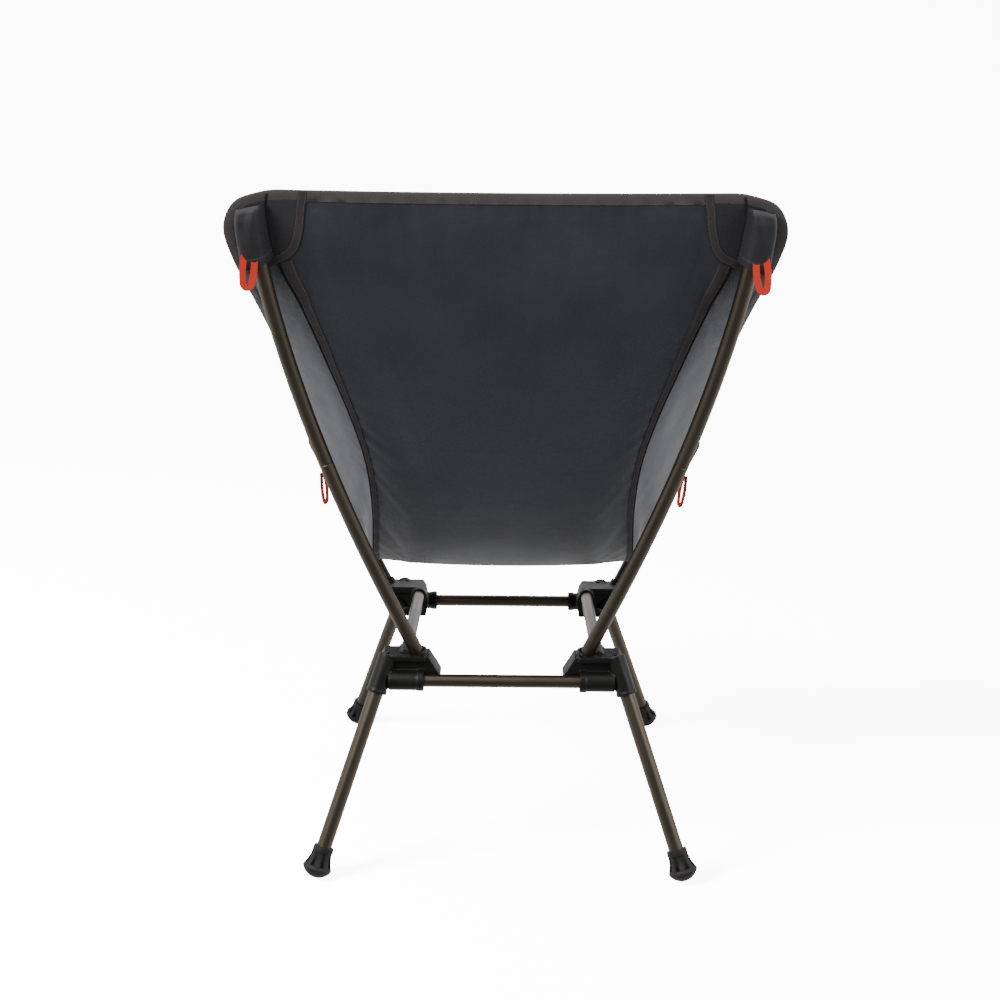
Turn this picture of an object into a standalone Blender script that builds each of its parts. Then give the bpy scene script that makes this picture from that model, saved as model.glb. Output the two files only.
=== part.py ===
"""Ultralight backpacking chair: four moulded hubs, shock-corded aluminium poles and a fabric sling seat.

Metres, +Z up. The chair faces -Y and is symmetric about X = 0; its left, as the sitter has it, is +X.
The origin is on the floor, under the middle of the chair. Dimensions below are from the middle of the
four hubs, which lies CENTRING behind the origin.
"""
import math

import bmesh
import bpy
from mathutils import Matrix, Vector

# ---------------------------------------------------------------- driving dimensions
GAP = 0.0003                # between pieces that touch
SLIDE_GAP = 0.0004          # between a tube and the socket it slides in
FERRULE_GAP = 0.0007        # a bowed ferrule needs more to slide straight out
ROUND = 16                  # sides of a round piece
CORD_ROUND = 6

BAR_D = 0.0127              # cross bars and side bars
LEG_D = 0.0146
UPRIGHT_D = 0.0136
WALL = 0.0010               # tube wall
CORD_D = 0.0026

CENTRING = 0.0036           # from the origin back to the middle of the four hubs

BAR_Y = 0.1366              # cross bars lie at +-BAR_Y, along X
BAR_Z = 0.1840
FRONT_DROP = 0.0040         # the frame slopes: its front hubs lie this much lower
BAR_MOUTH_X = 0.0765        # where a cross bar leaves its hub
BAR_END_X = 0.1070
SIDE_BAR_X = 0.0955         # side bars lie at +-SIDE_BAR_X, along Y
SIDE_BAR_Z = 0.2015
SIDE_MOUTH_Y = 0.0960
SIDE_END_Y = 0.1160

LEG_AT_BAR_X = 0.1193       # a leg's axis at the height of the cross bars
REAR_LEG_AT_FLOOR = (0.1816, 0.1940)
FRONT_LEG_AT_FLOOR = (0.1820, 0.2050)
LEG_TOP_Z = 0.2020
HUB_TOP_Z = 0.2080
HUB_END_Y = 0.1250          # closed end of the side bar's socket
LEG_SOCKET_MOUTH_Z = 0.1725
REAR_WEB_Y = (0.1100, 0.1300)
FRONT_WEB_Y = (-0.1260, -0.1060)
BAR_SLEEVE_R = 0.0098       # outer radii of a hub's sockets
COLLAR_R = 0.0104
COLLAR_LENGTH = 0.0060
SIDE_SLEEVE_R = 0.0088
LEG_SLEEVE_R = 0.0097
UPRIGHT_SLEEVE_R = 0.0090
SOCKET_FLOOR = 0.0035       # material below an upright's end, and beyond a cross bar's
CORD_HOLE_R = 0.0025        # the leg's cord runs out through the hub's top
CUT_PAST = 0.0200           # how far a cutter runs out of its mouth

SOLE_RADIUS = 0.0160        # the foot's domed sole, whose centre is on the leg's axis
FOOT_BORE_DEPTH = 0.0060    # the leg's end, below the sole's centre
FOOT_BODY = ((.0141, -.0065), (.0136, -.0045), (.0110, .0005), (.0096, .0050), (.0092, .0100),
             (.0099, .0110), (.0099, .0140), (.0094, .0150))     # radius, height: flange to collar

REAR_UPRIGHT = ((0.0796, 0.1210, 0.2000), (0.1965, 0.1870, 0.4566), (0.2146, 0.2355, 0.6340))
FRONT_UPRIGHT = ((0.1340, -0.1280, 0.2060), (0.2270, -0.2360, 0.3460))
UPRIGHT_FOOT_Z = 0.1830     # lower end of every upright, in its socket
UPRIGHT_SOCKET_TOP_Z = 0.2100
FERRULE_AT = 0.44           # share of the rear upright's curve below its two-section joint
FERRULE_LENGTH = 0.0800
TIP_LENGTH = 0.0060         # the plastic cap beyond the tube
PLUG_LENGTH = 0.0100        # and its plug inside it

PANEL_T = 0.0010
TAPE_T = 0.0020
PATCH_T = 0.0016
SLEEVE_WALL = 0.0022
SLEEVE_CORNER = 0.55        # exponent of its oblong section: 1 is an ellipse
SLEEVE_SHOULDER = 0.0030    # how much its closed end rounds in, across and along
REAR_SLEEVE = (0.0280, 0.0150, 0.0090)     # depth, half width, half thickness
FRONT_SLEEVE = (0.0380, 0.0165, 0.0086)
FRONT_SLEEVE_FACES = (0.876, 0.169, -0.452)
LOOP_W = 0.0050
LOOP_T = 0.0012
LOOP_DROP = 0.0310
LOOP_HALF = 0.0060          # half the distance between its two runs
REAR_LOOP_HEM = (0.0325, (0.0045, 0.0088, 0))        # down the upright from its end, then aside
REAR_LOOP_HANGS = (0.11, 0.02, -1)
REAR_LOOP_ACROSS = (1, 0, 0)
FRONT_LOOP_HEM = (0.0425, 0.0094)                    # down the upright, then out of the pocket's face
FRONT_LOOP_HANGS = (-0.12, 0.05, -1)
FRONT_LOOP_ACROSS = (0.45, 0.89, 0)

# The sling's three lengthwise curves, from the top edge over the seat to the front edge.
CENTRE = ((0, .2290, .6545), (0, .2245, .6320), (0, .2180, .6000), (0, .2085, .5560), (0, .1930, .5060),
          (0, .1700, .4520), (0, .1420, .4000), (0, .1060, .3440), (0, .0600, .2900), (0, .0000, .2675),
          (0, -.0800, .2660), (0, -.1500, .2800), (0, -.1950, .3000))
SEAM = ((.2000, .2275, .6560), (.2000, .2220, .6280), (.1957, .2130, .5935), (.1790, .2000, .5560),
        (.1595, .1820, .5040), (.1415, .1575, .4500), (.1300, .1320, .4000), (.1272, .1010, .3460),
        (.1312, .0580, .2940), (.1330, .0000, .2725), (.1380, -.0850, .2730), (.1450, -.1550, .2890),
        (.1530, -.2050, .3120))
EDGE = ((.2310, .2255, .6480), (.2410, .2200, .6260), (.2360, .2050, .5970), (.2250, .1550, .5530),
        (.2205, .0950, .5150), (.2215, .0350, .4800), (.2230, -.0250, .4510), (.2260, -.0800, .4270),
        (.2295, -.1300, .4080), (.2325, -.1700, .3950), (.2355, -.2070, .3840), (.2375, -.2290, .3770),
        (.2370, -.2440, .3680))
SEAM_U = 0.62               # where the seam lies between the middle, 0, and the side edge, 1
TAPE_U = 0.93               # the side binding takes the rest, and is TAPE_W wide
TAPE_W = 0.0095
TOP_TAPE_V = 0.032
FRONT_TAPE_V = 0.984
REAR_PATCH_U = 0.52
REAR_PATCH_V = 0.135
FRONT_PATCH_U = 0.74
FRONT_PATCH_V = 0.905
SEAM_GAP = 0.002            # in u and v, between sewn pieces

COLOURS = {                 # colour, roughness, metallic
    "tube": ((0.075, 0.062, 0.045), 0.38, 0.85),
    "side_bar": ((0.20, 0.185, 0.175), 0.35, 0.85),
    "hub": ((0.012, 0.012, 0.013), 0.45, 0.0),
    "foot": ((0.016, 0.016, 0.017), 0.60, 0.0),
    "ferrule": ((0.45, 0.45, 0.46), 0.35, 1.0),
    "cord": ((0.30, 0.30, 0.30), 0.80, 0.0),
    "panel": ((0.040, 0.042, 0.048), 0.55, 0.0),
    "side_panel": ((0.130, 0.137, 0.155), 0.60, 0.0),
    "binding": ((0.100, 0.088, 0.086), 0.70, 0.0),
    "patch": ((0.032, 0.032, 0.036), 0.70, 0.0),
    "pull": ((0.80, 0.075, 0.035), 0.55, 0.0),
}
SIDES = (("left", 1), ("right", -1))
ENDS = (("rear", 1), ("front", -1))


# ---------------------------------------------------------------- scene helpers
def clear_scene():
    for existing in list(bpy.data.objects):
        bpy.data.objects.remove(existing, do_unlink=True)


def material(name):
    found = bpy.data.materials.get(name)
    if found:
        return found
    colour, roughness, metallic = COLOURS[name]
    made = bpy.data.materials.new(name)
    made.use_nodes = True
    shader = made.node_tree.nodes["Principled BSDF"]
    shader.inputs["Base Color"].default_value = (*colour, 1)
    shader.inputs["Roughness"].default_value = roughness
    shader.inputs["Metallic"].default_value = metallic
    return made


def add_object(name, bm, material_name, origin=(0, 0, 0), smooth=True):
    """Puts a bmesh, measured from the middle of the hubs, into an object with its origin at origin."""
    bmesh.ops.recalc_face_normals(bm, faces=bm.faces)
    bm.transform(Matrix.Translation(-Vector(origin)))
    mesh = bpy.data.meshes.new(name)
    bm.to_mesh(mesh)
    bm.free()
    if smooth:
        mesh.shade_smooth()
        mesh.set_sharp_from_angle(angle=math.radians(35))
    made = bpy.data.objects.new(name, mesh)
    made.location = Vector(origin) + Vector((0, CENTRING, 0))
    made.data.materials.append(material(material_name))
    bpy.context.scene.collection.objects.link(made)
    return made


def mirrored(point, side):
    return Vector((point[0] * side, point[1], point[2]))


# ---------------------------------------------------------------- shape helpers
def add_rod(bm, start, end, radius, sides=ROUND):
    axis = end - start
    turn = axis.to_track_quat("Z", "Y").to_matrix().to_4x4()
    place = Matrix.Translation((start + end) / 2) @ turn
    bmesh.ops.create_cone(bm, cap_ends=True, segments=sides, radius1=radius, radius2=radius,
                          depth=axis.length, matrix=place)


def path_frames(path):
    """A matrix at each point of the path, its Z along the path, turning as little as it can."""
    frames = []
    across = None
    for i, point in enumerate(path):
        ahead = path[min(i + 1, len(path) - 1)] - path[max(i - 1, 0)]
        ahead.normalize()
        if across is None:
            across = ahead.orthogonal()
        across = (across - ahead * across.dot(ahead)).normalized()
        turn = Matrix((across, ahead.cross(across), ahead)).transposed().to_4x4()
        frames.append(Matrix.Translation(point) @ turn)
    return frames


def add_ring(bm, frame, half_x, half_y, sides=ROUND, power=1.0):
    """A ring of vertices in the frame's XY plane: an ellipse, or with a low power a rounded oblong."""
    ring = []
    for i in range(sides):
        angle = 2 * math.pi * i / sides
        x, y = math.cos(angle), math.sin(angle)
        x = math.copysign(abs(x) ** power, x) * half_x
        y = math.copysign(abs(y) ** power, y) * half_y
        ring.append(bm.verts.new(frame @ Vector((x, y, 0))))
    return ring


def skin(bm, rings, close=False):
    """Faces between rings in order; close joins the last ring to the first."""
    pairs = list(zip(rings, rings[1:]))
    if close:
        pairs.append((rings[-1], rings[0]))
    for a, b in pairs:
        for i in range(len(a)):
            j = (i + 1) % len(a)
            bm.faces.new((a[i], a[j], b[j], b[i]))


def add_tube(bm, path, radius, wall):
    frames = path_frames(path)
    outer = [add_ring(bm, frame, radius, radius) for frame in frames]
    inner = [add_ring(bm, frame, radius - wall, radius - wall) for frame in reversed(frames)]
    skin(bm, outer + inner, close=True)


def add_solid(bm, path, radii, sides=ROUND):
    """A closed turned solid along the path, with its two ends capped."""
    rings = [add_ring(bm, frame, r, r, sides) for frame, r in zip(path_frames(path), radii)]
    skin(bm, rings)
    bm.faces.new(list(reversed(rings[0])))
    bm.faces.new(rings[-1])


def add_turned_cup(bm, frame, outline):
    """A closed body turned about the frame's Z from an outline of (radius, height), axis to axis."""
    rings = []
    first = bm.verts.new(frame @ Vector((0, 0, outline[0][1])))
    last = bm.verts.new(frame @ Vector((0, 0, outline[-1][1])))
    for radius, height in outline[1:-1]:
        rings.append(add_ring(bm, frame @ Matrix.Translation((0, 0, height)), radius, radius))
    skin(bm, rings)
    for i in range(ROUND):
        j = (i + 1) % ROUND
        bm.faces.new((first, rings[0][j], rings[0][i]))
        bm.faces.new((last, rings[-1][i], rings[-1][j]))


def bezier(points, t):
    a, b, c = (Vector(p) for p in points)
    return a * (1 - t) ** 2 + b * 2 * t * (1 - t) + c * t * t


def catmull_rom(points, t):
    """A smooth curve through the points, t from 0 to 1, evenly in their count."""
    spans = len(points) - 1
    at = min(max(t, 0), 1) * spans
    i = min(int(at), spans - 1)
    f = at - i
    b, c = Vector(points[i]), Vector(points[i + 1])
    a = Vector(points[i - 1]) if i else b * 2 - c
    d = Vector(points[i + 2]) if i + 2 <= spans else c * 2 - b
    return 0.5 * (b * 2 + (c - a) * f + (a * 2 - b * 5 + c * 4 - d) * f * f
                  + (b * 3 - a - c * 3 + d) * f * f * f)


# ---------------------------------------------------------------- where the poles lie
def height(z, end):
    """A height given for the rear of the frame, at the rear or the front."""
    return z if end > 0 else z - FRONT_DROP


def leg_direction(side, end):
    """Down the leg, from its hub to its foot."""
    floor_x, floor_y = REAR_LEG_AT_FLOOR if end > 0 else FRONT_LEG_AT_FLOOR
    down = Vector((floor_x - LEG_AT_BAR_X, floor_y - BAR_Y, -height(BAR_Z, end))).normalized()
    return Vector((down.x * side, down.y * end, down.z))


def leg_point(side, end, z):
    down = leg_direction(side, end)
    at_bar = Vector((LEG_AT_BAR_X * side, BAR_Y * end, height(BAR_Z, end)))
    return at_bar + down * ((z - at_bar.z) / down.z)


def side_bar_point(side, y):
    slope = FRONT_DROP / (2 * SIDE_MOUTH_Y)
    return Vector((SIDE_BAR_X * side, y, SIDE_BAR_Z + (y - SIDE_MOUTH_Y) * slope))


def upright_points(end):
    return REAR_UPRIGHT if end > 0 else FRONT_UPRIGHT


def upright_direction(side, end):
    """Up the upright, where it leaves its hub."""
    points = upright_points(end)
    up = (Vector(points[1]) - Vector(points[0])).normalized()
    return mirrored(up, side)


def upright_point(side, end, z):
    """A point of the upright's straight lower end."""
    up = upright_direction(side, end)
    return mirrored(upright_points(end)[0], side) + up * ((z - upright_points(end)[0][2]) / up.z)


def rear_curve(side, start, stop, count):
    """Points of the rear upright's bowed part, between two shares of its curve."""
    shares = [start + (stop - start) * i / count for i in range(count + 1)]
    return [mirrored(bezier(REAR_UPRIGHT, t), side) for t in shares]


def tip_axis(side, end):
    """The upright's upper end and the direction that it points in there."""
    points = [mirrored(p, side) for p in upright_points(end)]
    return points[-1], (points[-1] - points[-2]).normalized()


# ---------------------------------------------------------------- frame
def make_cross_bars():
    for label, end in ENDS:
        bm = bmesh.new()
        middle = Vector((0, BAR_Y * end, height(BAR_Z, end)))
        add_tube(bm, [middle + Vector((x, 0, 0)) for x in (-BAR_END_X, BAR_END_X)], BAR_D / 2, WALL)
        add_object(f"{label}_cross_bar", bm, "tube", middle)


def make_side_bars():
    for label, side in SIDES:
        bm = bmesh.new()
        ends = [side_bar_point(side, y) for y in (-SIDE_END_Y, SIDE_END_Y)]
        add_tube(bm, ends, BAR_D / 2, WALL)
        add_object(f"side_bar_{label}", bm, "side_bar", side_bar_point(side, 0))


def add_web(bm, outline, y_low, y_high):
    """The hub's solid middle: an outline in XZ, extruded along Y."""
    near = [bm.verts.new((x, y_low, z)) for x, z in outline]
    far = [bm.verts.new((x, y_high, z)) for x, z in outline]
    skin(bm, [near, far])
    bm.faces.new(list(reversed(near)))
    bm.faces.new(far)


def make_tool(name, bm):
    """An object that only shapes another one through a Boolean."""
    tool = add_object(name, bm, "hub", smooth=False)
    tool.hide_render = True
    tool.display_type = "WIRE"
    return tool


def shape_with(target, tool, operation):
    modifier = target.modifiers.new(tool.name, "BOOLEAN")
    modifier.operation = operation
    modifier.solver = "EXACT"
    modifier.object = tool


def hub_outline(end):
    """The web's XZ outline on the left: slanted along the upright inside and the leg outside."""
    if end > 0:
        return ((.0800, .1740), (.1235, .1740), (.1250, .1780), (.1190, .2060), (.1160, .2090),
                (.0760, .2090), (.0715, .2060), (.0605, .1880), (.0605, .1845), (.0800, .1810))
    return ((.0880, .1740), (.1235, .1740), (.1260, .1780), (.1340, .2020), (.1310, .2085),
            (.0930, .2085), (.0880, .2040), (.0850, .1920))


def make_hub(label, side, end_label, end):
    name = f"{end_label}_hub_{label}"
    outline = [(x * side, height(z, end)) for x, z in hub_outline(end)]
    web_y = REAR_WEB_Y if end > 0 else FRONT_WEB_Y
    bm = bmesh.new()
    add_web(bm, outline, *web_y)
    hub = add_object(name, bm, "hub", smooth=False)

    bar_axis = Vector((0, BAR_Y * end, height(BAR_Z, end)))
    across = Vector((side, 0, 0))
    leg, upright = leg_direction(side, end), upright_direction(side, end)
    leg_mouth = leg_point(side, end, height(LEG_SOCKET_MOUTH_Z, end))
    leg_end = leg_point(side, end, height(LEG_TOP_Z, end))
    leg_top = leg_point(side, end, height(HUB_TOP_Z, end))
    upright_end = upright_point(side, end, height(UPRIGHT_FOOT_Z, end))
    upright_low = upright_end - upright * SOCKET_FLOOR
    upright_mouth = upright_point(side, end, height(UPRIGHT_SOCKET_TOP_Z, end))
    bar_mouth = bar_axis + across * BAR_MOUTH_X
    bar_end = bar_axis + across * BAR_END_X
    side_mouth = side_bar_point(side, SIDE_MOUTH_Y * end)
    sleeves = (
        ("bar", bar_mouth, bar_end + across * SOCKET_FLOOR, BAR_SLEEVE_R),
        ("collar", bar_mouth, bar_mouth + across * COLLAR_LENGTH, COLLAR_R),
        ("side", side_mouth, side_bar_point(side, HUB_END_Y * end), SIDE_SLEEVE_R),
        ("leg", leg_mouth, leg_top, LEG_SLEEVE_R),
        ("upright", upright_low, upright_mouth, UPRIGHT_SLEEVE_R),
    )
    for part, start, stop, radius in sleeves:
        bm = bmesh.new()
        add_rod(bm, start, stop, radius)
        shape_with(hub, make_tool(f"{name}_{part}_sleeve", bm), "UNION")

    bores = (
        ("bar", bar_mouth - across * CUT_PAST, bar_end + across * GAP, BAR_D / 2 + GAP),
        ("side", side_bar_point(side, (SIDE_MOUTH_Y - CUT_PAST) * end),
         side_bar_point(side, (SIDE_END_Y + GAP) * end), BAR_D / 2 + GAP),
        ("leg", leg_mouth + leg * CUT_PAST, leg_end - leg * GAP, LEG_D / 2 + SLIDE_GAP),
        ("leg_cord", leg_end + leg * 0.002, leg_top - leg * CUT_PAST, CORD_HOLE_R),
        ("upright", upright_mouth + upright * CUT_PAST, upright_end - upright * GAP,
         UPRIGHT_D / 2 + SLIDE_GAP),
    )
    for part, start, stop, radius in bores:
        bm = bmesh.new()
        add_rod(bm, start, stop, radius)
        shape_with(hub, make_tool(f"{name}_{part}_bore", bm), "DIFFERENCE")


def make_legs():
    for end_label, end in ENDS:
        for label, side in SIDES:
            down = leg_direction(side, end)
            top = leg_point(side, end, height(LEG_TOP_Z, end))
            sole_centre = leg_point(side, end, SOLE_RADIUS)
            bottom = sole_centre + down * (FOOT_BORE_DEPTH - GAP)
            bm = bmesh.new()
            add_tube(bm, [top, bottom], LEG_D / 2, WALL)
            add_object(f"{end_label}_leg_{label}", bm, "tube", top)
            make_foot(f"{end_label}_foot_{label}", sole_centre, -down)
            bm = bmesh.new()
            add_rod(bm, top - down * 0.006, bottom - down * 0.004, CORD_D / 2, CORD_ROUND)
            add_object(f"{end_label}_leg_cord_{label}", bm, "cord", top)


def make_foot(name, centre, up):
    """A rubber boot turned about the leg's axis: domed sole, flared flange, tapered body, collar."""
    bore = LEG_D / 2 + GAP
    sole = [(SOLE_RADIUS * math.sin(a), -SOLE_RADIUS * math.cos(a))
            for a in (math.radians(d) for d in (0, 20, 40, 58))]
    outline = sole + list(FOOT_BODY) + [(bore, FOOT_BODY[-1][1]), (bore, -FOOT_BORE_DEPTH),
                                        (0, -FOOT_BORE_DEPTH)]
    frame = Matrix.Translation(centre) @ up.to_track_quat("Z", "Y").to_matrix().to_4x4()
    bm = bmesh.new()
    add_turned_cup(bm, frame, outline)
    add_object(name, bm, "foot", centre)


def make_tip(name, tip, up):
    """A plastic end cap: a plug in the tube and a domed head beyond it."""
    plug = UPRIGHT_D / 2 - WALL - GAP
    head = UPRIGHT_D / 2
    heights = (-PLUG_LENGTH, 0.0005 - PLUG_LENGTH, GAP, GAP, TIP_LENGTH * 0.45, TIP_LENGTH * 0.8, TIP_LENGTH)
    radii = (plug - .0005, plug, plug, head, head, head * 0.8, head * 0.45)
    frame = Matrix.Translation(tip) @ up.to_track_quat("Z", "Y").to_matrix().to_4x4()
    bm = bmesh.new()
    outline = [(0, heights[0])] + list(zip(radii, heights)) + [(0, heights[-1])]
    add_turned_cup(bm, frame, outline)
    add_object(name, bm, "hub", tip)


def make_front_uprights():
    for label, side in SIDES:
        low = upright_point(side, -1, height(UPRIGHT_FOOT_Z, -1))
        tip, up = tip_axis(side, -1)
        bm = bmesh.new()
        add_tube(bm, [low, tip], UPRIGHT_D / 2, WALL)
        add_object(f"front_upright_{label}", bm, "tube", low)
        make_tip(f"front_upright_tip_{label}", tip, up)
        bm = bmesh.new()
        add_rod(bm, low + up * 0.004, tip - up * 0.014, CORD_D / 2, CORD_ROUND)
        add_object(f"front_upright_cord_{label}", bm, "cord", low)


def make_rear_uprights():
    """Two tube sections, bowed by the sling, joined over an inner ferrule, with a cord inside."""
    for label, side in SIDES:
        low = upright_point(side, 1, UPRIGHT_FOOT_Z)
        tip, up = tip_axis(side, 1)
        joint = mirrored(bezier(REAR_UPRIGHT, FERRULE_AT), side)
        lower_path = [low] + rear_curve(side, 0.0, FERRULE_AT, 4)
        upper_path = rear_curve(side, FERRULE_AT, 1.0, 6)
        along = (upper_path[1] - lower_path[-2]).normalized()
        lower_path[-1] = joint - along * GAP / 2
        upper_path[0] = joint + along * GAP / 2
        for section, path in (("lower", lower_path), ("upper", upper_path)):
            bm = bmesh.new()
            add_tube(bm, path, UPRIGHT_D / 2, WALL)
            add_object(f"rear_upright_{section}_{label}", bm, "tube", path[0])
        make_tip(f"rear_upright_tip_{label}", tip, up)

        curve_length = sum((b - a).length for a, b in zip(lower_path + upper_path,
                                                          (lower_path + upper_path)[1:]))
        reach = FERRULE_LENGTH / 2 / curve_length
        ferrule_path = rear_curve(side, FERRULE_AT - reach, FERRULE_AT + reach, 3)
        bm = bmesh.new()
        add_tube(bm, ferrule_path, UPRIGHT_D / 2 - WALL - FERRULE_GAP, WALL)
        add_object(f"rear_ferrule_{label}", bm, "ferrule", joint)

        cord_path = [low + upright_direction(side, 1) * 0.004] + rear_curve(side, 0.02, 0.36, 4)
        bm = bmesh.new()
        add_solid(bm, cord_path, [CORD_D / 2] * len(cord_path), CORD_ROUND)
        add_object(f"rear_upright_cord_{label}", bm, "cord", low)


# ---------------------------------------------------------------- sling
def sling_point(u, v):
    """The sling's middle surface: u from -1, right edge, to 1, left edge; v from 0, top, to 1, front."""
    share = abs(u)
    side = 1 if u >= 0 else -1
    centre, seam, edge = (catmull_rom(curve, v) for curve in (CENTRE, SEAM, EDGE))
    if share <= SEAM_U:
        s = share / SEAM_U
        drop = s * s
        point = Vector((seam.x * s, centre.y + (seam.y - centre.y) * drop,
                        centre.z + (seam.z - centre.z) * drop))
    else:
        taped = edge + (seam - edge).normalized() * TAPE_W
        if share <= TAPE_U:
            point = seam.lerp(taped, (share - SEAM_U) / (TAPE_U - SEAM_U))
        else:
            point = taped.lerp(edge, (share - TAPE_U) / (1 - TAPE_U))
    return Vector((point.x * side, point.y, point.z))


def steps(start, stop, count):
    return [start + (stop - start) * i / count for i in range(count + 1)]


def make_sheet(name, material_name, u_lines, v_lines, thickness, keep=None):
    """A thin solid on the sling's surface, over a grid of u and v; keep leaves some of its cells out."""
    bm = bmesh.new()
    grid = [[bm.verts.new(sling_point(u, v)) for u in u_lines] for v in v_lines]
    for j in range(len(v_lines) - 1):
        for i in range(len(u_lines) - 1):
            middle = ((u_lines[i] + u_lines[i + 1]) / 2, (v_lines[j] + v_lines[j + 1]) / 2)
            if keep is None or keep(*middle):
                bm.faces.new((grid[j][i], grid[j][i + 1], grid[j + 1][i + 1], grid[j + 1][i]))
    for loose in [vert for vert in bm.verts if not vert.link_faces]:
        bm.verts.remove(loose)
    sheet = add_object(name, bm, material_name)
    solid = sheet.modifiers.new("thickness", "SOLIDIFY")
    solid.thickness = thickness
    solid.offset = 0
    solid.use_even_offset = True
    return sheet


def make_panels():
    rear_u, rear_v = REAR_PATCH_U - SEAM_GAP, REAR_PATCH_V + SEAM_GAP
    top_v, front_v = TOP_TAPE_V + SEAM_GAP, FRONT_TAPE_V - SEAM_GAP
    seam_in, seam_out = SEAM_U - SEAM_GAP, SEAM_U + SEAM_GAP
    u_lines = ([-seam_in] + steps(-rear_u, rear_u, 12) + [seam_in])
    v_lines = steps(top_v, rear_v, 3) + steps(rear_v, front_v, 24)[1:]
    make_sheet("main_panel", "panel", u_lines, v_lines, PANEL_T,
               keep=lambda u, v: v > rear_v or abs(u) < rear_u)
    front_u, front_patch_v = FRONT_PATCH_U - SEAM_GAP, FRONT_PATCH_V - SEAM_GAP
    for label, side in SIDES:
        u_lines = [side * u for u in [seam_out] + steps(0.68, front_u, 1)
                   + steps(front_u, TAPE_U - SEAM_GAP, 3)[1:]]
        v_lines = steps(rear_v, front_patch_v, 20) + steps(front_patch_v, front_v, 2)[1:]
        make_sheet(f"side_panel_{label}", "side_panel", u_lines, v_lines, PANEL_T,
                   keep=lambda u, v: v < front_patch_v or abs(u) < front_u)


def make_bindings():
    edge_u = REAR_PATCH_U - SEAM_GAP
    make_sheet("top_binding", "binding", steps(-edge_u, edge_u, 12), [0, TOP_TAPE_V], TAPE_T)
    edge_u = FRONT_PATCH_U - SEAM_GAP
    make_sheet("front_binding", "binding", steps(-edge_u, edge_u, 14), [FRONT_TAPE_V, 1], TAPE_T)
    v_lines = steps(REAR_PATCH_V + SEAM_GAP, FRONT_PATCH_V - SEAM_GAP, 20)
    for label, side in SIDES:
        make_sheet(f"side_binding_{label}", "binding", [side * TAPE_U, side], v_lines, TAPE_T)


def make_corner_patches():
    for label, side in SIDES:
        u_lines = [side * u for u in steps(REAR_PATCH_U, 1, 6)]
        make_sheet(f"rear_corner_patch_{label}", "patch", u_lines, steps(0, REAR_PATCH_V, 5), PATCH_T)
        u_lines = [side * u for u in steps(FRONT_PATCH_U, 1, 4)]
        make_sheet(f"front_corner_patch_{label}", "patch", u_lines, steps(FRONT_PATCH_V, 1, 4), PATCH_T)


def make_sleeve(name, tip, up, width_axis, size):
    """A fabric pocket over an upright's end: an oblong cup, open below."""
    depth, half_w, half_d = size
    inner_w, inner_d = half_w - SLEEVE_WALL, UPRIGHT_D / 2 + 2 * GAP
    across = (width_axis - up * width_axis.dot(up)).normalized()
    turn = Matrix((across, up.cross(across), up)).transposed().to_4x4()
    base = Matrix.Translation(tip) @ turn
    top = TIP_LENGTH + SLEEVE_WALL
    shoulder = SLEEVE_SHOULDER
    levels = ((-depth, half_w, half_d), (top - shoulder, half_w, half_d),
              (top, half_w - shoulder, half_d - shoulder * 2 / 3))
    hollow = ((TIP_LENGTH + 2 * GAP, inner_w - shoulder / 3, inner_d - shoulder / 3),
              (TIP_LENGTH - shoulder / 3, inner_w, inner_d), (-depth, inner_w, inner_d))
    bm = bmesh.new()
    outer, inner = ([add_ring(bm, base @ Matrix.Translation((0, 0, h)), w, d, power=SLEEVE_CORNER)
                     for h, w, d in rows] for rows in (levels, hollow))
    skin(bm, outer)
    skin(bm, inner)
    skin(bm, [inner[-1], outer[0]])
    bm.faces.new(outer[-1])
    bm.faces.new(list(reversed(inner[0])))
    add_object(name, bm, "patch", tip)


def make_loop(name, start, down, across):
    """A webbing pull: two runs down from the pocket's hem, joined round at the bottom."""
    path = [start - across * LOOP_HALF]
    for i in range(7):
        angle = math.pi * i / 6
        sideways = across * (-math.cos(angle) * LOOP_HALF)
        path.append(start + sideways + down * (LOOP_DROP + math.sin(angle) * LOOP_HALF))
    path.append(start + across * LOOP_HALF)
    normal = down.cross(across).normalized()
    rings = []
    bm = bmesh.new()
    for i, point in enumerate(path):
        ahead = (path[min(i + 1, len(path) - 1)] - path[max(i - 1, 0)]).normalized()
        out = ahead.cross(normal)
        corners = [(s * LOOP_W / 2, w * LOOP_T / 2) for s, w in ((-1, -1), (1, -1), (1, 1), (-1, 1))]
        rings.append([bm.verts.new(point + out * a + normal * b) for a, b in corners])
    skin(bm, rings)
    bm.faces.new(list(reversed(rings[0])))
    bm.faces.new(rings[-1])
    add_object(name, bm, "pull", start, smooth=False)


def make_pockets():
    for label, side in SIDES:
        tip, up = tip_axis(side, 1)
        make_sleeve(f"rear_pole_pocket_{label}", tip, up, Vector((1, 0, 0)), REAR_SLEEVE)
        below, aside = REAR_LOOP_HEM
        hem = tip - up * below + mirrored(aside, side)
        make_loop(f"rear_pull_loop_{label}", hem, mirrored(REAR_LOOP_HANGS, side).normalized(),
                  mirrored(REAR_LOOP_ACROSS, side))
        tip, up = tip_axis(side, -1)
        outward = mirrored(FRONT_SLEEVE_FACES, side)
        make_sleeve(f"front_pole_pocket_{label}", tip, up, up.cross(outward), FRONT_SLEEVE)
        below, out = FRONT_LOOP_HEM
        hem = tip - up * below + outward * out
        make_loop(f"front_pull_loop_{label}", hem, mirrored(FRONT_LOOP_HANGS, side).normalized(),
                  mirrored(FRONT_LOOP_ACROSS, side).normalized())


def main():
    clear_scene()
    make_cross_bars()
    make_side_bars()
    for end_label, end in ENDS:
        for label, side in SIDES:
            make_hub(label, side, end_label, end)
    make_legs()
    make_front_uprights()
    make_rear_uprights()
    make_panels()
    make_bindings()
    make_corner_patches()
    make_pockets()


main()
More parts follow.
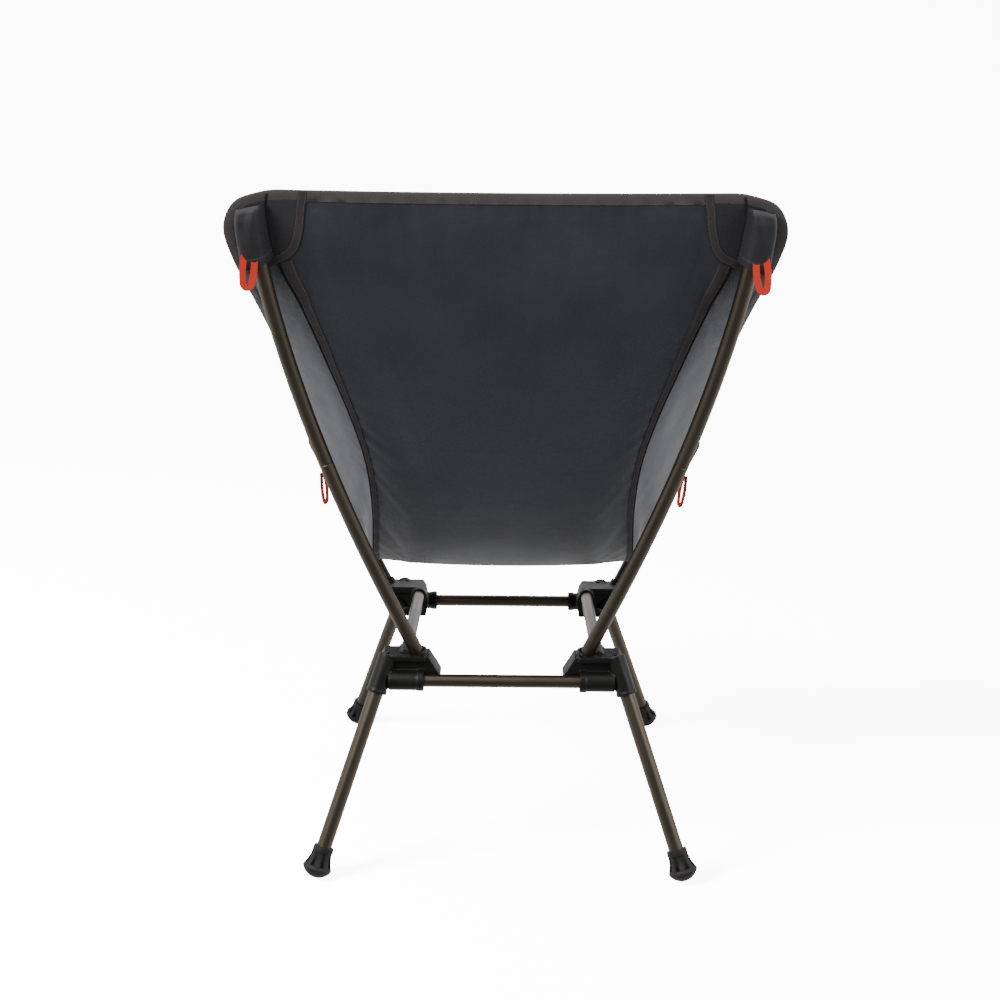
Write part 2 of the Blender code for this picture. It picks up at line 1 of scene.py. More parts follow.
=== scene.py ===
"""The looks of the ultralight backpacking chair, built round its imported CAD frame."""
import math

import bmesh
import bpy
import numpy as np
from mathutils import Matrix, Vector


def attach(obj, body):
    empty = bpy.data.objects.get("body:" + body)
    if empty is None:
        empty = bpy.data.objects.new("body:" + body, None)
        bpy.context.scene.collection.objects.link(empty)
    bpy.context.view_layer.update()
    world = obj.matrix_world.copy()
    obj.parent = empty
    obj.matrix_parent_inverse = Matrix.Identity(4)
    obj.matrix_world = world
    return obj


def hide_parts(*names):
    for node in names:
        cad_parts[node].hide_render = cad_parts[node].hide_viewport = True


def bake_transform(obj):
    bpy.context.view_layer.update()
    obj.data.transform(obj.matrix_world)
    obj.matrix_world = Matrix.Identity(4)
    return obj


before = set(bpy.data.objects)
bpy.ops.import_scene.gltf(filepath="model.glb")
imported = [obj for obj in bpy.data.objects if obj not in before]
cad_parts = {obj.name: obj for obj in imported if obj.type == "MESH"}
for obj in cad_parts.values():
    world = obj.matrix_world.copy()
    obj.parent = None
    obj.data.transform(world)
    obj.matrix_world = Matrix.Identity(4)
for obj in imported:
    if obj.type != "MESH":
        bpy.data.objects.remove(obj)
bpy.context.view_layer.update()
CENTRING = 0.0036
SIDES = (("left", 1), ("right", -1))
ENDS = (("rear", 1), ("front", -1))
ROOT = "frame_and_seat"


def at_origin(point):
    """A point measured from the middle of the hubs, in the row frame."""
    return Vector((point[0], point[1] + CENTRING, point[2]))


# ---------------------------------------------------------------- materials
class Graph:
    """A small helper that builds one procedural material."""

    def __init__(self, name, **values):
        self.material = bpy.data.materials.new(name)
        self.material.use_nodes = True
        self.tree = self.material.node_tree
        self.shader = self.tree.nodes["Principled BSDF"]
        for key, value in values.items():
            self.shader.inputs[key.replace("_", " ")].default_value = value

    def put(self, value, target):
        if isinstance(value, bpy.types.NodeSocket):
            self.tree.links.new(value, target)
        else:
            target.default_value = value

    def node(self, kind, out=0, settings=None, **inputs):
        made = self.tree.nodes.new("ShaderNode" + kind)
        for key, value in (settings or {}).items():
            setattr(made, key, value)
        for key, value in inputs.items():
            self.put(value, made.inputs[int(key[1:])] if key[0] == "i" and key[1:].isdigit()
                     else made.inputs[key])
        return made.outputs[out]

    def math(self, operation, a, b=0.0, clamp=False):
        return self.node("Math", settings={"operation": operation, "use_clamp": clamp}, i0=a, i1=b)

    def uv(self):
        """Along and across a piece, in metres."""
        split = self.node("UVMap", settings={"uv_map": "UVMap"})
        made = self.tree.nodes.new("ShaderNodeSeparateXYZ")
        self.tree.links.new(split, made.inputs[0])
        return made.outputs[0], made.outputs[1]

    def place(self, scale=(1, 1, 1)):
        """Object coordinates, stretched."""
        coords = self.tree.nodes.new("ShaderNodeTexCoord").outputs["Object"]
        return self.node("Mapping", Vector=coords, Scale=scale)

    def vector(self, x, y, z=0.0):
        return self.node("CombineXYZ", i0=x, i1=y, i2=z)

    def noise(self, vector, scale, detail=3.0, roughness=0.55):
        return self.node("TexNoise", Vector=vector, Scale=scale, Detail=detail, Roughness=roughness)

    def ramp(self, value, low, high, to_low=0.0, to_high=1.0):
        made = self.tree.nodes.new("ShaderNodeMapRange")
        for i, v in enumerate((value, low, high, to_low, to_high)):
            self.put(v, made.inputs[i])
        return made.outputs[0]

    def mix(self, factor, a, b):
        made = self.tree.nodes.new("ShaderNodeMix")
        made.data_type = "RGBA"
        self.put(factor, made.inputs[0])
        for value, target in ((a, made.inputs[6]), (b, made.inputs[7])):
            self.put((*value, 1) if isinstance(value, tuple) else value, target)
        return made.outputs[2]

    def wave(self, value, pitch):
        turned = self.math("SINE", self.math("MULTIPLY", value, 2 * math.pi / pitch))
        return self.math("ADD", self.math("MULTIPLY", turned, 0.5), 0.5)

    def stitches(self, along, across, lines, pitch=0.0022, thread=0.00028):
        """A mask, 1 on the thread of stitch lines at these places across."""
        turn = self.math("FRACT", self.math("DIVIDE", along, pitch))
        dash = self.math("COMPARE", turn, 0.5)
        dash.node.inputs[2].default_value = 0.36
        total = 0.0
        for line in lines:
            near = self.math("COMPARE", across, line)
            near.node.inputs[2].default_value = thread
            total = self.math("MAXIMUM", total, near)
        return self.math("MULTIPLY", dash, total)

    def bump(self, height, distance, strength=1.0, normal=None):
        made = self.tree.nodes.new("ShaderNodeBump")
        made.inputs["Strength"].default_value = strength
        made.inputs["Distance"].default_value = distance
        self.put(height, made.inputs["Height"])
        if normal is not None:
            self.put(normal, made.inputs["Normal"])
        return made.outputs[0]

    def finish(self, **inputs):
        for key, value in inputs.items():
            self.put(value, self.shader.inputs[key.replace("_", " ")])
        return self.material


def anodised(name, colour, worn, roughness):
    g = Graph(name, Metallic=1.0)
    along, around = g.uv()
    streaks = g.noise(g.vector(g.math("MULTIPLY", along, 6.0), g.math("MULTIPLY", around, 420.0)), 1.0, 4.0)
    patches = g.noise(g.place(), 35.0, 3.0)
    scuffs = g.noise(g.vector(g.math("MULTIPLY", along, 90.0), g.math("MULTIPLY", around, 900.0)), 1.0, 6.0, 0.7)
    scuffed = g.ramp(scuffs, 0.66, 0.74)
    tone = g.mix(g.ramp(streaks, 0.35, 0.65), tuple(c * 0.88 for c in colour), colour)
    tone = g.mix(g.math("MULTIPLY", scuffed, 0.35), tone, worn)
    rough = g.math("ADD", g.ramp(streaks, 0.3, 0.7, roughness - 0.05, roughness + 0.06),
                   g.ramp(patches, 0.4, 0.65, 0.0, 0.05))
    return g.finish(Base_Color=tone, Roughness=rough, Normal=g.bump(streaks, 0.00003, 0.5))


def moulded(name, colour, roughness, grain, depth, dust):
    g = Graph(name, Specular_IOR_Level=0.45)
    fine = g.noise(g.place(), grain, 3.0, 0.6)
    broad = g.noise(g.place(), 60.0, 3.0)
    height = g.node("SeparateXYZ", out=2, i0=g.place())
    low = g.math("MULTIPLY", g.ramp(height, 0.022, 0.004), g.ramp(broad, 0.35, 0.7))
    tone = g.mix(g.ramp(broad, 0.3, 0.7), colour, tuple(c * 1.35 for c in colour))
    tone = g.mix(g.math("MULTIPLY", low, dust), tone, (0.11, 0.10, 0.09))
    rough = g.ramp(broad, 0.3, 0.7, roughness - 0.05, roughness + 0.08)
    return g.finish(Base_Color=tone, Roughness=rough, Normal=g.bump(fine, depth, 0.6))


def woven(name, colour, pitch, roughness, sheen, mottling=0.12, ribs=0.00006, lines=()):
    g = Graph(name, Sheen_Weight=sheen, Sheen_Roughness=0.45, Specular_IOR_Level=0.5)
    along, across = g.uv()
    warp = g.wave(across, pitch)
    weft = g.wave(along, pitch)
    weave = g.math("MAXIMUM", g.math("MULTIPLY", warp, g.math("SUBTRACT", 1.0, weft)),
                   g.math("MULTIPLY", weft, g.math("SUBTRACT", 1.0, warp)))
    yarn = g.noise(g.vector(g.math("MULTIPLY", along, 30.0), g.math("MULTIPLY", across, 700.0)), 1.0, 3.0)
    cloud = g.noise(g.place(), 14.0, 4.0)
    creases = g.noise(g.place((1.0, 1.0, 1.0)), 42.0, 5.0, 0.7)
    nicks = g.noise(g.vector(g.math("MULTIPLY", along, 160.0), g.math("MULTIPLY", across, 160.0)), 1.0, 8.0, 0.8)
    marks = g.ramp(nicks, 0.74, 0.80)
    tone = g.mix(g.ramp(cloud, 0.3, 0.7), tuple(c * (1 - mottling) for c in colour),
                 tuple(c * (1 + mottling) for c in colour))
    tone = g.mix(g.math("MULTIPLY", g.ramp(yarn, 0.35, 0.7), 0.15), tone, tuple(c * 1.5 for c in colour))
    tone = g.mix(g.math("MULTIPLY", marks, 0.4), tone, tuple(min(1, c * 3.2) for c in colour))
    if lines:
        sewn = g.stitches(along, across, lines, thread=0.0004)
        tone = g.mix(sewn, tone, tuple(c * 2.6 for c in colour))
        weave = g.math("ADD", weave, g.math("MULTIPLY", sewn, 2.0))
    rough = g.ramp(cloud, 0.35, 0.65, roughness - 0.05, roughness + 0.06)
    lines_of_strain = g.noise(g.vector(g.math("MULTIPLY", along, 60.0), g.math("MULTIPLY", across, 9.0)), 1.0, 4.0, 0.6)
    lumps = g.bump(creases, 0.0022, 0.30, g.bump(lines_of_strain, 0.0012, 0.25))
    return g.finish(Base_Color=tone, Roughness=rough, Normal=g.bump(weave, ribs, 0.8, lumps))


def tape(name, colour, lines, rib=0.0011, thread=(0.125, 0.110, 0.112)):
    """Grosgrain tape: ribs across it, and lines of stitches along it."""
    g = Graph(name, Sheen_Weight=0.05, Sheen_Roughness=0.5, Specular_IOR_Level=0.3)
    along, across = g.uv()
    ribs = g.wave(along, rib)
    fuzz = g.noise(g.place(), 900.0, 2.0)
    cloud = g.noise(g.place(), 30.0, 3.0)
    sewn = g.stitches(along, across, lines)
    tone = g.mix(g.math("MULTIPLY", ribs, 0.55), tuple(c * 0.72 for c in colour), colour)
    tone = g.mix(g.ramp(cloud, 0.35, 0.65, 0.0, 0.3), tone, tuple(c * 1.25 for c in colour))
    if lines and lines[0] < 0:
        edge = g.ramp(g.math("ABSOLUTE", across), 0.0029, 0.0037, 0.0, 0.55)
        tone = g.mix(edge, tone, tuple(c * 0.35 for c in colour))
    tone = g.mix(sewn, tone, thread)
    height = g.math("ADD", g.math("MULTIPLY", ribs, 0.35), g.math("MULTIPLY", sewn, 1.0))
    height = g.math("ADD", height, g.math("MULTIPLY", fuzz, 0.25))
    return g.finish(Base_Color=tone, Roughness=g.ramp(cloud, 0.3, 0.7, 0.72, 0.86),
                    Normal=g.bump(height, 0.00028, 0.8))


MATERIALS = {
    "tube": anodised("tube", (0.165, 0.140, 0.108), (0.36, 0.33, 0.28), 0.40),
    "side_bar": anodised("side_bar", (0.30, 0.275, 0.262), (0.5, 0.48, 0.45), 0.35),
    "ferrule": anodised("ferrule", (0.55, 0.55, 0.56), (0.7, 0.7, 0.7), 0.28),
    "hub": moulded("hub", (0.0070, 0.0066, 0.0062), 0.42, 1600.0, 0.00008, 0.0),
    "foot": moulded("foot", (0.0150, 0.0140, 0.0135), 0.58, 900.0, 0.00012, 0.40),
    "panel": woven("panel", (0.0400, 0.0420, 0.0520), 0.0009, 0.46, 0.05),
    "side_panel": woven("side_panel", (0.046, 0.049, 0.062), 0.0010, 0.50, 0.04),
    "patch": woven("patch", (0.0310, 0.0305, 0.0360), 0.0009, 0.60, 0.03),
    "sleeve": woven("sleeve", (0.0230, 0.0230, 0.0270), 0.0009, 0.60, 0.03, lines=(0.0042,)),
    "binding": tape("binding", (0.110, 0.099, 0.098), (0.0083, 0.0012)),
    "seam_tape": tape("seam_tape", (0.066, 0.058, 0.060), (-0.0028, 0.0028)),
    "piping": tape("piping", (0.010, 0.010, 0.011), ()),
    "pull": tape("pull", (0.98, 0.055, 0.030), (), 0.0008),
    "cord": tape("cord", (0.30, 0.30, 0.30), (), 0.0012),
}


# ---------------------------------------------------------------- mesh helpers
def add_mesh(name, points, faces, material, uvs=None, smooth=True):
    mesh = bpy.data.meshes.new(name)
    mesh.from_pydata([tuple(p) for p in points], [], faces)
    if uvs is not None:
        layer = mesh.uv_layers.new(name="UVMap")
        flat = np.array([uvs[loop.vertex_index] for loop in mesh.loops], np.float32)
        layer.data.foreach_set("uv", flat.ravel())
    mesh.update()
    obj = bpy.data.objects.new(name, mesh)
    bpy.context.scene.collection.objects.link(obj)
    mesh.materials.append(MATERIALS[material])
    if smooth:
        mesh.shade_smooth()
        mesh.set_sharp_from_angle(angle=math.radians(40))
    return obj


def mount(obj, body, slot, *nodes):
    """The finished piece rides on a body and stands for these CAD nodes; the slot is not used."""
    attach(obj, body)
    if nodes:
        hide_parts(*nodes)
    return obj


def path_frames(path):
    frames = []
    across = None
    for i, point in enumerate(path):
        ahead = (path[min(i + 1, len(path) - 1)] - path[max(i - 1, 0)]).normalized()
        if across is None:
            across = ahead.orthogonal()
        across = (across - ahead * across.dot(ahead)).normalized()
        frames.append((point, across, ahead.cross(across), ahead))
    return frames


def lathe(name, rings, sides, material, close=False, uv_scale=1.0, radius_at=None):
    """A skin over rings, each (frame, radius, shift along the axis)."""
    points, uvs = [], []
    run = 0.0
    last = None
    for (centre, x, y, z), radius, shift in rings:
        middle = centre + z * shift
        if last is not None:
            run += max((middle - last[0]).length, abs(radius - last[1]))
        last = (middle, radius)
        for i in range(sides):
            angle = 2 * math.pi * i / sides
            r = radius if radius_at is None else radius_at(radius, shift, angle)
            points.append(middle + (x * math.cos(angle) + y * math.sin(angle)) * r)
            uvs.append((run, min(i, sides - i) / sides * 2 * math.pi * max(radius, 0.004) * uv_scale))
    faces = []
    count = len(rings)
    for a in range(count if close else count - 1):
        b = (a + 1) % count
        for i in range(sides):
            j = (i + 1) % sides
            faces.append((a * sides + i, a * sides + j, b * sides + j, b * sides + i))
    if not close:
        faces.append(tuple(reversed(range(sides))))
        faces.append(tuple(range((count - 1) * sides, count * sides)))
    return add_mesh(name, points, faces, material, uvs)


def tube(name, path, radius, material, wall=0.001, sides=48):
    """A tube with its end edges eased."""
    ease = 0.0004
    frames = path_frames(path)
    first, final = frames[0], frames[-1]
    outer = [(first, radius - ease, 0.0), (first, radius, ease)]
    outer += [(f, radius, 0.0) for f in frames[1:-1]]
    outer += [(final, radius, -ease), (final, radius - ease, 0.0)]
    bore = radius - wall
    inner = [(final, bore, 0.0), (final, bore, -0.002)]
    inner += [(f, bore, 0.0) for f in reversed(frames[1:-1])]
    inner += [(first, bore, 0.002), (first, bore, 0.0)]
    return lathe(name, outer + inner, sides, material, close=True)


def straight(start, end, count=4):
    return [start.lerp(end, i / count) for i in range(count + 1)]


# ---------------------------------------------------------------- where the poles lie, as in the CAD
BAR_R, LEG_R, UPRIGHT_R = 0.00635, 0.0073, 0.0068
BAR_Y, BAR_Z, FRONT_DROP = 0.1366, 0.1840, 0.0040
SOLE_RADIUS = 0.0160
REAR_UPRIGHT = ((0.0796, 0.1210, 0.2000), (0.1965, 0.1870, 0.4566), (0.2146, 0.2355, 0.6340))
FRONT_UPRIGHT = ((0.1340, -0.1280, 0.2060), (0.2270, -0.2360, 0.3460))
FERRULE_AT = 0.44


def mirrored(point, side):
    return Vector((point[0] * side, point[1], point[2]))


def height(z, end):
    return z if end > 0 else z - FRONT_DROP


def leg_direction(side, end):
    floor = (0.1816, 0.1940) if end > 0 else (0.1820, 0.2050)
    down = Vector((floor[0] - 0.1193, floor[1] - BAR_Y, -height(BAR_Z, end))).normalized()
    return Vector((down.x * side, down.y * end, down.z))


def leg_point(side, end, z):
    down = leg_direction(side, end)
    at_bar = Vector((0.1193 * side, BAR_Y * end, height(BAR_Z, end)))
    return at_bar + down * ((z - at_bar.z) / down.z)


def side_bar_point(side, y):
    slope = FRONT_DROP / (2 * 0.0960)
    return Vector((0.0955 * side, y, 0.2015 + (y - 0.0960) * slope))


def upright_points(end):
    return REAR_UPRIGHT if end > 0 else FRONT_UPRIGHT


def upright_direction(side, end):
    points = upright_points(end)
    return mirrored((Vector(points[1]) - Vector(points[0])).normalized(), side)


def upright_point(side, end, z):
    up = upright_direction(side, end)
    start = upright_points(end)[0]
    return mirrored(start, side) + up * ((z - start[2]) / up.z)


def bezier(points, t):
    a, b, c = (Vector(p) for p in points)
    return a * (1 - t) ** 2 + b * 2 * t * (1 - t) + c * t * t


def rear_curve(side, start, stop, count):
    return [mirrored(bezier(REAR_UPRIGHT, start + (stop - start) * i / count), side) for i in range(count + 1)]


def tip_axis(side, end):
    points = [mirrored(p, side) for p in upright_points(end)]
    return points[-1], (points[-1] - points[-2]).normalized()


# ---------------------------------------------------------------- poles
def build_poles():
    for label, end in ENDS:
        middle = Vector((0, BAR_Y * end, height(BAR_Z, end)))
        path = [at_origin(middle + Vector((x, 0, 0))) for x in np.linspace(-0.107, 0.107, 9)]
        mount(tube(f"{label}_cross_bar_tube", path, BAR_R, "tube"), ROOT, "tube", f"{label}_cross_bar")
    for label, side in SIDES:
        path = [at_origin(side_bar_point(side, y)) for y in np.linspace(-0.116, 0.116, 9)]
        mount(tube(f"side_bar_tube_{label}", path, BAR_R, "side_bar"), ROOT, "side_bar", f"side_bar_{label}")
    for end_label, end in ENDS:
        for label, side in SIDES:
            down = leg_direction(side, end)
            top = leg_point(side, end, height(0.2020, end))
            bottom = leg_point(side, end, SOLE_RADIUS) + down * 0.0057
            path = [at_origin(p) for p in straight(top, bottom, 8)]
            mount(tube(f"{end_label}_leg_tube_{label}", path, LEG_R, "tube"),
                  f"{end_label}_leg_{label}_body", "tube", f"{end_label}_leg_{label}")
    for label, side in SIDES:
        low = upright_point(side, -1, height(0.1830, -1))
        tip, up = tip_axis(side, -1)
        path = [at_origin(p) for p in straight(low, tip, 8)]
        mount(tube(f"front_upright_tube_{label}", path, UPRIGHT_R, "tube"),
              f"front_upright_{label}_body", "tube", f"front_upright_{label}")
        low = upright_point(side, 1, 0.1830)
        joint = mirrored(bezier(REAR_UPRIGHT, FERRULE_AT), side)
        lower_path = [low] + rear_curve(side, 0.0, FERRULE_AT, 12)
        upper_path = rear_curve(side, FERRULE_AT, 1.0, 16)
        along = (upper_path[1] - lower_path[-2]).normalized()
        lower_path[-1] = joint - along * 0.00015
        upper_path[0] = joint + along * 0.00015
        for section, path in (("lower", lower_path), ("upper", upper_path)):
            mount(tube(f"rear_upright_{section}_tube_{label}", [at_origin(p) for p in path], UPRIGHT_R, "tube"),
                  f"rear_upright_{section}_{label}_body", "tube", f"rear_upright_{section}_{label}")


# ---------------------------------------------------------------- hubs and feet
def add_rod(bm, start, end, radius, sides=48):
    axis = end - start
    turn = axis.to_track_quat("Z", "Y").to_matrix().to_4x4()
    bmesh.ops.create_cone(bm, cap_ends=True, segments=sides, radius1=radius, radius2=radius,
                          depth=axis.length, matrix=Matrix.Translation((start + end) / 2) @ turn)


def add_prism(bm, outline, y_low, y_high):
    near = [bm.verts.new((x, y_low, z)) for x, z in outline]
    far = [bm.verts.new((x, y_high, z)) for x, z in outline]
    for i in range(len(near)):
        j = (i + 1) % len(near)
        bm.faces.new((near[i], near[j], far[j], far[i]))
    bm.faces.new(list(reversed(near)))
    bm.faces.new(far)


def temporary(bm):
    bmesh.ops.recalc_face_normals(bm, faces=bm.faces)
    mesh = bpy.data.meshes.new("tool")
    bm.to_mesh(mesh)
    bm.free()
    obj = bpy.data.objects.new("tool", mesh)
    bpy.context.scene.collection.objects.link(obj)
    return obj


def apply_modifiers(obj):
    graph = bpy.context.evaluated_depsgraph_get()
    made = bpy.data.meshes.new_from_object(obj.evaluated_get(graph))
    obj.modifiers.clear()
    old = obj.data
    obj.data = made
    bpy.data.meshes.remove(old)


def boolean(target, tool, operation):
    modifier = target.modifiers.new("shape", "BOOLEAN")
    modifier.operation = operation
    modifier.solver = "EXACT"
    modifier.object = tool
    bpy.context.view_layer.update()
    apply_modifiers(target)
    bpy.data.objects.remove(tool, do_unlink=True)


def hub_plate(end, inset):
    """The web's XZ outline, or with an inset the smaller outline of its recess."""
    if end > 0:
        outline = [(.0800, .1740), (.1235, .1740), (.1250, .1780), (.1190, .2060), (.1160, .2090),
                   (.0760, .2090), (.0715, .2060), (.0605, .1880), (.0605, .1845), (.0800, .1810)]
    else:
        outline = [(.0880, .1740), (.1235, .1740), (.1260, .1780), (.1340, .2020), (.1310, .2085),
                   (.0930, .2085), (.0880, .2040), (.0850, .1920)]
    cx = sum(p[0] for p in outline) / len(outline)
    cz = sum(p[1] for p in outline) / len(outline)
    return [(cx + (x - cx) * inset, cz + (z - cz) * inset) for x, z in outline]


def build_hub(end_label, end):
    """One pair of hubs: the left one is shaped, and the right one is its mirror image."""
    side = 1
    bar_axis = Vector((0, BAR_Y * end, height(BAR_Z, end)))
    across = Vector((side, 0, 0))
    leg, upright = leg_direction(side, end), upright_direction(side, end)
    leg_mouth = leg_point(side, end, height(0.1725, end))
    leg_top = leg_point(side, end, height(0.2080, end))
    leg_end = leg_point(side, end, height(0.2020, end))
    upright_end = upright_point(side, end, height(0.1830, end))
    upright_mouth = upright_point(side, end, height(0.2100, end))
    bar_mouth, bar_end = bar_axis + across * 0.0765, bar_axis + across * 0.1070
    side_mouth = side_bar_point(side, 0.0960 * end)

    web_y = (0.1095, 0.1340) if end > 0 else (-0.1300, -0.1075)
    flange_y = (0.1060, 0.1385) if end > 0 else (-0.1350, -0.1020)
    bm = bmesh.new()
    add_prism(bm, [(x * side, height(z, end)) for x, z in hub_plate(end, 1.0)], *web_y)
    hub = temporary(bm)
    top_rim = [(x, z) for x, z in ((.0745, .2035), (.1195, .2035), (.1165, .2090), (.0760, .2090))]
    inner_rim = [(.0605, .1845), (.0660, .1845), (.0780, .2060), (.0720, .2075), (.0605, .1885)]
    rims = [(top_rim, flange_y), (inner_rim, (0.1080, 0.1290))]
    if end < 0:
        rims = [([(.0880, .2035), (.1320, .2035), (.1300, .2100), (.0920, .2100)], flange_y)]
    for outline, between in rims:
        bm = bmesh.new()
        add_prism(bm, [(x * side, height(z, end)) for x, z in outline], *between)
        boolean(hub, temporary(bm), "UNION")
    sleeves = ((bar_mouth, bar_end + across * 0.0035, 0.0098), (bar_mouth, bar_mouth + across * 0.006, 0.0106),
               (side_mouth, side_bar_point(side, 0.1250 * end), 0.0088), (leg_mouth, leg_top, 0.0097),
               (leg_mouth, leg_mouth - leg * 0.003, 0.0102),
               (upright_end - upright * 0.0035, upright_mouth, 0.0090))
    for start, stop, radius in sleeves:
        bm = bmesh.new()
        add_rod(bm, start, stop, radius)
        boolean(hub, temporary(bm), "UNION")
    remesh = hub.modifiers.new("skin", "REMESH")
    remesh.mode = "VOXEL"
    remesh.voxel_size = 0.0006
    soften = hub.modifiers.new("soften", "SMOOTH")
    soften.factor = 0.5
    soften.iterations = 4
    bpy.context.view_layer.update()
    apply_modifiers(hub)

    past = 0.02
    bores = ((bar_mouth - across * past, bar_end + across * 0.0003, BAR_R + 0.0003),
             (side_bar_point(side, 0.0760 * end), side_bar_point(side, 0.1163 * end), BAR_R + 0.0003),
             (leg_mouth + leg * past, leg_end - leg * 0.0003, LEG_R + 0.0004),
             (leg_end + leg * 0.002, leg_top - leg * past, 0.0025),
             (upright_mouth + upright * past, upright_end - upright * 0.0003, UPRIGHT_R + 0.0004))
    for start, stop, radius in bores:
        bm = bmesh.new()
        add_rod(bm, start, stop, radius)
        boolean(hub, temporary(bm), "DIFFERENCE")
    hub.name = f"{end_label}_hub_shell_left"
    hub.data.transform(Matrix.Translation((0, CENTRING, 0)))
    hub.data.materials.clear()
    hub.data.materials.append(MATERIALS["hub"])
    hub.data.shade_smooth()
    hub.data.set_sharp_from_angle(angle=math.radians(42))
    twin = bpy.data.objects.new(f"{end_label}_hub_shell_right", hub.data.copy())
    twin.data.transform(Matrix.Scale(-1, 4, (1, 0, 0)))
    twin.data.flip_normals()
    bpy.context.scene.collection.objects.link(twin)
    mount(hub, ROOT, "hub", f"{end_label}_hub_left")
    mount(twin, ROOT, "hub", f"{end_label}_hub_right")


def foot_radius(radius, shift, angle):
    """Ribs with hollows between them, from the flange up to the collar."""
    if not -0.0035 < shift < 0.0095 or radius < 0.0085:
        return radius
    rib = 0.5 + 0.5 * math.cos(angle * 8)
    share = min(1.0, max(0.0, (rib - 0.25) * 5))
    return 0.0087 + (radius - 0.0087) * share


def build_feet():
    sole = [(SOLE_RADIUS * math.sin(a), -SOLE_RADIUS * math.cos(a))
            for a in (math.radians(d) for d in range(0, 60, 6))]
    outline = [(max(r, 0.0002), h) for r, h in sole]
    outline += [(.0140, -.0078), (.0143, -.0070), (.0142, -.0058), (.0136, -.0048), (.0131, -.0038),
                (.0131, -.0034), (.0124, -.0018), (.0118, -.0003), (.0113, .0012), (.0108, .0030),
                (.0104, .0048), (.0101, .0066), (.0099, .0084), (.0098, .0094), (.0100, .0097),
                (.0101, .0104), (.0101, .0138), (.0099, .0147), (.0095, .0150), (.0077, .0150),
                (.0076, .0146), (.0076, -.0060), (.0002, -.0060)]
    for end_label, end in ENDS:
        for label, side in SIDES:
            up = -leg_direction(side, end)
            centre = at_origin(leg_point(side, end, SOLE_RADIUS))
            x = up.orthogonal().normalized()
            base = (centre, x, up.cross(x), up)
            rings = [(base, radius, shift) for radius, shift in outline]
            foot = lathe(f"{end_label}_foot_boot_{label}", rings, 128, "foot", radius_at=foot_radius)
            mount(foot, f"{end_label}_leg_{label}_body", "foot", f"{end_label}_foot_{label}")


# ---------------------------------------------------------------- the sling's surface
CENTRE = ((0, .2290, .6545), (0, .2245, .6320), (0, .2180, .6000), (0, .2085, .5560), (0, .1930, .5060),
          (0, .1700, .4520), (0, .1420, .4000), (0, .1060, .3440), (0, .0600, .2900), (0, .0000, .2675),
          (0, -.0800, .2660), (0, -.1500, .2800), (0, -.1950, .3000))
SEAM = ((.2000, .2275, .6560), (.2000, .2220, .6280), (.1957, .2130, .5935), (.1790, .2000, .5560),
        (.1595, .1820, .5040), (.1415, .1575, .4500), (.1300, .1320, .4000), (.1272, .1010, .3460),
        (.1312, .0580, .2940), (.1330, .0000, .2725), (.1380, -.0850, .2730), (.1450, -.1550, .2890),
        (.1530, -.2050, .3120))
EDGE = ((.2310, .2255, .6480), (.2410, .2200, .6260), (.2360, .2050, .5970), (.2250, .1550, .5530),
        (.2205, .0950, .5150), (.2215, .0350, .4800), (.2230, -.0250, .4510), (.2260, -.0800, .4270),
        (.2295, -.1300, .4080), (.2325, -.1700, .3950), (.2355, -.2070, .3840), (.2375, -.2290, .3770),
        (.2370, -.2440, .3680))
SEAM_U = 0.62
COLUMNS = np.concatenate([np.linspace(-1, -SEAM_U, 19)[:-1], np.linspace(-SEAM_U, SEAM_U, 61),
                          np.linspace(SEAM_U, 1, 19)[1:]])
ROWS = np.linspace(0, 1, 121)


def catmull_rom(points, t):
    points = np.array(points, float)
    spans = len(points) - 1
    at = np.clip(t, 0, 1) * spans
    i = np.minimum(at.astype(int), spans - 1)
    f = (at - i)[:, None]
    longer = np.vstack([2 * points[0] - points[1], points, 2 * points[-1] - points[-2]])
    a, b, c, d = longer[i], longer[i + 1], longer[i + 2], longer[i + 3]
    return 0.5 * (2 * b + (c - a) * f + (2 * a - 5 * b + 4 * c - d) * f ** 2
                  + (3 * b - a - 3 * c + d) * f ** 3)


def base_surface():
    centre, seam, edge = (catmull_rom(c, ROWS) for c in (CENTRE, SEAM, EDGE))
    grid = np.zeros((len(ROWS), len(COLUMNS), 3))
    for k, u in enumerate(COLUMNS):
        share, side = abs(u), 1 if u >= 0 else -1
        if share <= SEAM_U:
            s = share / SEAM_U
            column = np.stack([seam[:, 0] * s, centre[:, 1] + (seam[:, 1] - centre[:, 1]) * s * s,
                               centre[:, 2] + (seam[:, 2] - centre[:, 2]) * s * s], -1)
        else:
            column = seam + (edge - seam) * ((share - SEAM_U) / (1 - SEAM_U))
        grid[:, k] = column * (side, 1, 1)
    grid[:, :, 1] += CENTRING
    return round_corners(grid)


